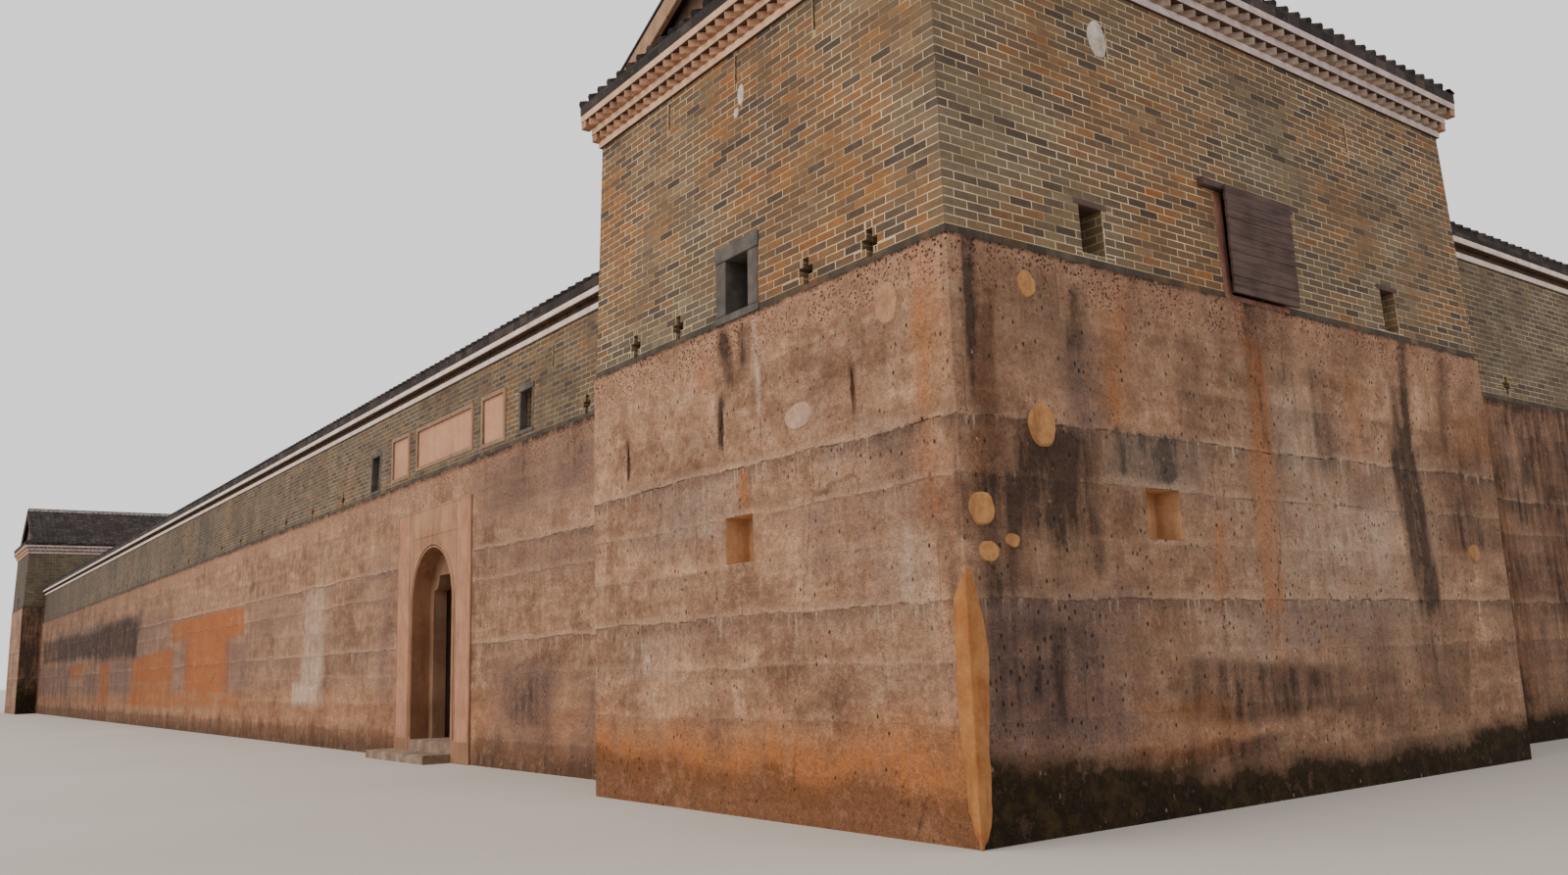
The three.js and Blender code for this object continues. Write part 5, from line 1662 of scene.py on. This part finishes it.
# The plaster trim of the surround: fillets beside and over the arch, pale side strips on their bases, and
# the mouldings of the arch.
def makeFillets():
    matrix = faceMatrix("gate_surround", "front")
    x, strip, wide, stand, sunk = (gate[key] for key in ("x", "strip", "fillet", "stand", "sunk"))
    whole = bmesh.new()
    top = surround[1].z
    for side in (-1, 1):
        for at in (x + side * strip, x + side * gate["edge"]):
            addBlock(whole, (at - wide / 2, gate["base"], -sunk), (at + wide / 2, top - 0.004, stand), 0.001,
                     matrix)
        foot = sorted((x + side * (strip - 0.03), x + side * (gate["edge"] + 0.013)))
        addBlock(whole, (foot[0], 0.002, -sunk), (foot[1], gate["base"] - 0.01, 0.005), 0.003, matrix)
        face = sorted((x + side * (strip + 0.012), x + side * (gate["edge"] - 0.01)))
        addBlock(whole, (face[0], gate["base"] - 0.012, -sunk), (face[1], top - 0.02, 0.0018), 0.0008,
                 matrix, 3)
    for reach, foot, head in ((strip, gate["header"], gate["header"] + wide),
                              (gate["edge"] + 0.004, top - 0.014, top - 0.002)):
        addBlock(whole, (x - reach, foot, -sunk), (x + reach, head, stand), 0.001, matrix)
    for inner, outer, stand, index in gate["beads"]:
        addBead(whole, matrix, inner, outer, stand, index)
    finishPiece(whole, "surroundFillets", [gatePlaster, framePlaster, grooveShadow, stripPlaster])


# One moulding round the arch and down both jambs.
def addBead(whole, matrix, inner, outer, stand, index):
    x = gate["x"]
    bm = bmesh.new()
    addGrid(bm, 0, 1, 0, 1, 28, 1)
    for vert in bm.verts:
        angle = math.pi * vert.co.x
        size = gate["radius"] + (inner if vert.co.y < 0.5 else outer)
        vert.co = (x - math.cos(angle) * size, gate["spring"] + math.sin(angle) * size, 0)
    made = bmesh.ops.extrude_face_region(bm, geom=bm.faces[:], use_keep_orig=True)
    lifted = [v for v in made["geom"] if isinstance(v, bmesh.types.BMVert)]
    bmesh.ops.translate(bm, vec=(0, 0, stand), verts=lifted)
    bmesh.ops.recalc_face_normals(bm, faces=bm.faces)
    for face in bm.faces:
        face.material_index = index
    joinInto(whole, bm, matrix)
    for side in (-1, 1):
        ends = sorted((x + side * (gate["radius"] + inner), x + side * (gate["radius"] + outer)))
        addBlock(whole, (ends[0], gate["base"], -gate["sunk"]), (ends[1], gate["spring"], stand), 0, matrix,
                 index)


makeFillets()

print("stage: niches and mends")


# A clay lining just inside a niche, open to the front.
def addNiche(whole, matrix, x0, x1, y0, y1, deep):
    bm = bmesh.new()
    addBlock(bm, (x0 + 0.001, y0 + 0.001, -deep + 0.001), (x1 - 0.001, y1 - 0.001, 0.004), 0)
    front = [f for f in bm.faces if f.normal.z > 0.9]
    bmesh.ops.delete(bm, geom=front, context="FACES")
    bmesh.ops.reverse_faces(bm, faces=bm.faces)
    bmesh.ops.subdivide_edges(bm, edges=bm.edges[:], cuts=3, use_grid_fill=True)
    for vert in bm.verts:
        if vert.co.z < -0.01:
            vert.co += Vector((0, 0, 1)) * 0.004 * (0.5 + noise.noise(vert.co * 30))
    joinInto(whole, bm, matrix)


# Small holes with their foot between the first two heights are the niches.
niche = {"lowest": 1.1, "highest": 1.15, "top": 1.4, "wide": 0.3, "deep": 0.13}
for key, tower in towers.items():
    node = key + "_tower_earth_walls"
    whole = bmesh.new()
    for side in key.split("_"):
        matrix = faceMatrix(node, side)
        for loop in faceLoops(node, matrix):
            x0, x1, y0, y1 = loopBox(loop)
            if niche["lowest"] < y0 < niche["highest"] and y1 < niche["top"] and x1 - x0 < niche["wide"]:
                addNiche(whole, matrix, x0, x1, y0, y1, niche["deep"])
    if len(whole.faces):
        finishPiece(whole, tower["name"] + "Niches", [nicheClay])
    else:
        whole.free()


# A mend smeared on by hand: a thin uneven disc.
def addMend(whole, matrix, x, y, wide, tall, stand, seed):
    bm = bmesh.new()
    bmesh.ops.create_circle(bm, cap_ends=True, segments=22, radius=1)
    bmesh.ops.inset_region(bm, faces=bm.faces[:], thickness=0.14, depth=0, use_boundary=True)
    for vert in bm.verts:
        way = vert.co.normalized()
        edge = vert.co.length > 0.95
        swell = 1 + 0.14 * noise.noise(way * 1.4 + Vector((seed, 0, 0)))
        swell += 0.05 * noise.noise(way * 5 + Vector((seed, 3, 0)))
        vert.co = (x + vert.co.x * swell * wide / 2, y + vert.co.y * swell * tall / 2, 0 if edge else stand)
    joinInto(whole, bm, matrix)


# Mends on one face, in real metres: from the near corner, height of the middle, width and height.
def makeMends(name, node, side, lean, spots, material, stand):
    matrix = faceMatrix(node, side, lean)
    whole = bmesh.new()
    for seed, (at, z, wide, tall) in enumerate(spots):
        along = (cornerX if side == "front" else cornerY) + at * scale
        addMend(whole, matrix, along, z * scale, wide * scale, tall * scale, stand, seed * 1.7)
    finishPiece(whole, name, [material])


# The tongue's reach from the corner at each real height: along the front, then along the side.
tongueShape = [(0, 0.02, 0.02), (0.17, 0.07, 0.1), (0.26, 0.1, 0.12), (0.66, 0.15, 0.13),
               (0.93, 0.16, 0.15), (1.34, 0.15, 0.19), (1.6, 0.15, 0.15), (1.76, 0.14, 0.11),
               (1.84, 0.07, 0.08), (1.93, 0.03, 0.03), (1.98, 0.01, 0.01)]
tongue = {"stand": 0.0165, "columns": 14, "rows": 60}


# A tongue of ochre clay smeared over the near corner, from the ground up.
def makeTongue():
    bm = bmesh.new()
    addGrid(bm, -1, 1, 0, tongueShape[-1][0], tongue["columns"], tongue["rows"])
    for vert in bm.verts:
        z, part = vert.co.y, vert.co.x
        below = max(row for row in tongueShape if row[0] <= z + 1e-6)
        above = min((row for row in tongueShape if row[0] > z + 1e-6), default=below)
        blend = (z - below[0]) / (above[0] - below[0]) if above is not below else 0
        column = 1 if part < 0 else 2
        reach = (below[column] + (above[column] - below[column]) * blend) * scale
        reach += 0.007 * noise.noise((z * 5, column, 5)) + 0.004 * noise.noise((z * 17, column, 2))
        across = part * max(0.001, reach)
        edge = vert.is_boundary and z > 0.001
        stand = tongue["stand"] * (1 - 0.45 * part * part) - 0.004 * abs(noise.noise((part * 2, z * 3, 1)))
        if edge:
            stand = 0.001
        vert.co = Vector((cornerX + min(0, across) + stand * (across > -0.02),
                          cornerY + max(0, across) - stand * (across < 0.02), z * scale))
    bmesh.ops.recalc_face_normals(bm, faces=bm.faces)
    if sum(f.normal.x for f in bm.faces) < 0:
        bmesh.ops.reverse_faces(bm, faces=bm.faces)
    finishPiece(bm, "cornerClayTongue", [tongueClay], smooth=True)


makeTongue()
nearEarth = "front_right_tower_earth_walls"
nearBrick = "front_right_tower_brick_walls"
makeMends("sideClayMends", nearEarth, "right", 0, [
    (0.93, 3.1, 0.33, 0.36), (0.2, 2.41, 0.27, 0.27), (0.245, 2.09, 0.23, 0.17), (0.5, 2.18, 0.16, 0.12),
    (7.8, 2.25, 0.24, 0.21), (0.85, 4.24, 0.22, 0.24),
], ochreClay, 0.0105)
makeMends("frontClayMends", nearEarth, "front", 0, [(-0.7, 4.13, 0.3, 0.36)], dullClay, 0.0085)
makeMends("frontPaleMends", nearEarth, "front", 0, [(-1.92, 3.43, 0.42, 0.24)], pinkMend, 0.0085)
makeMends("sideLimeMend", nearBrick, "right", batter, [(2.1, 6.74, 0.27, 0.36)], paleMend, 0.006)
makeMends("frontLimeMend", nearBrick, "front", batter, [(-2.75, 6.78, 0.12, 0.22), (-2.83, 6.62, 0.08, 0.12)],
          paleMend, 0.005)

panel = {"rim": 0.031, "stand": 0.0008, "deep": 0.0145, "inset": 0.0004}


# A darker rim of plaster round each panel over the gate, down to its sunk face: worn on its front, painted
# shade on its inner walls.
def makePanelRims():
    wide, stand, deep = panel["rim"], panel["stand"], panel["deep"]
    for name, node in (("middlePanelRim", "name_panel"), ("rightPanelRim", "side_panel_right"),
                       ("leftPanelRim", "side_panel_left")):
        low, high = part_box(node)
        x0, x1 = low.x + panel["inset"], high.x - panel["inset"]
        z0, z1 = low.z + panel["inset"], high.z - panel["inset"]
        wallBlocks(name, node, "front", 0, [
            ((x0, z1 - wide, -deep), (x1, z1, stand)), ((x0, z0, -deep), (x1, z0 + wide, stand)),
            ((x0, z0 + wide, -deep), (x0 + wide, z1 - wide, stand)),
            ((x1 - wide, z0 + wide, -deep), (x1, z1 - wide, stand)),
        ], [panelRim], 0)


makePanelRims()

print("stage: plain nodes")

# What each CAD node is made of. The first word that its name holds counts.
cadMaterials = [
    ("earth", plainEarth), ("tower_floor", floorBoard), ("range_floor", floorBoard), ("brick", brickwork),
    ("cornice", bandPlaster), ("roof", tile), ("court_wall", brickwork), ("surround", gatePlaster),
    ("gate_frame", framePlaster), ("threshold", stepStone), ("leaf", leafPlank), ("panel", panelPlaster),
    ("shutter", shutterBoard),
]
for nodeName, node in frame["nodes"].items():
    material = next(m for part, m in cadMaterials if part in nodeName)
    for place in node.material_slots:
        place.material = material

print("stage: floor")

floorPlan = {"reach": 400, "colour": "#b9b2a8", "shade": "#aaa298"}


def makeFloor():
    material, tree, place = startMaterial("plain studio floor, matt")
    cloud = addNode(tree, "TexNoise", {"Scale": 0.4, "Detail": 3}, {"Vector": place})
    colour = addNode(tree, "MixRGB", {"Color1": floorPlan["colour"], "Color2": floorPlan["shade"]},
                     {"Fac": cloud})
    endMaterial(tree, colour, cloud, 0.001, 0.9)
    bm = bmesh.new()
    bmesh.ops.create_grid(bm, x_segments=4, y_segments=4, size=floorPlan["reach"])
    mesh = bpy.data.meshes.new("studioFloor")
    bm.to_mesh(mesh)
    bm.free()
    mesh.materials.append(material)
    floor = bpy.data.objects.new("studioFloor", mesh)
    bpy.context.scene.collection.objects.link(floor)
    floor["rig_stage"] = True


makeFloor()

triangles = 0
for piece in bpy.data.objects:
    if piece.type == "MESH" and "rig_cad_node" not in piece:
        piece.data.calc_loop_triangles()
        triangles += len(piece.data.loop_triangles)
print("stage: done,", triangles, "triangles added")

low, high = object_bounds()
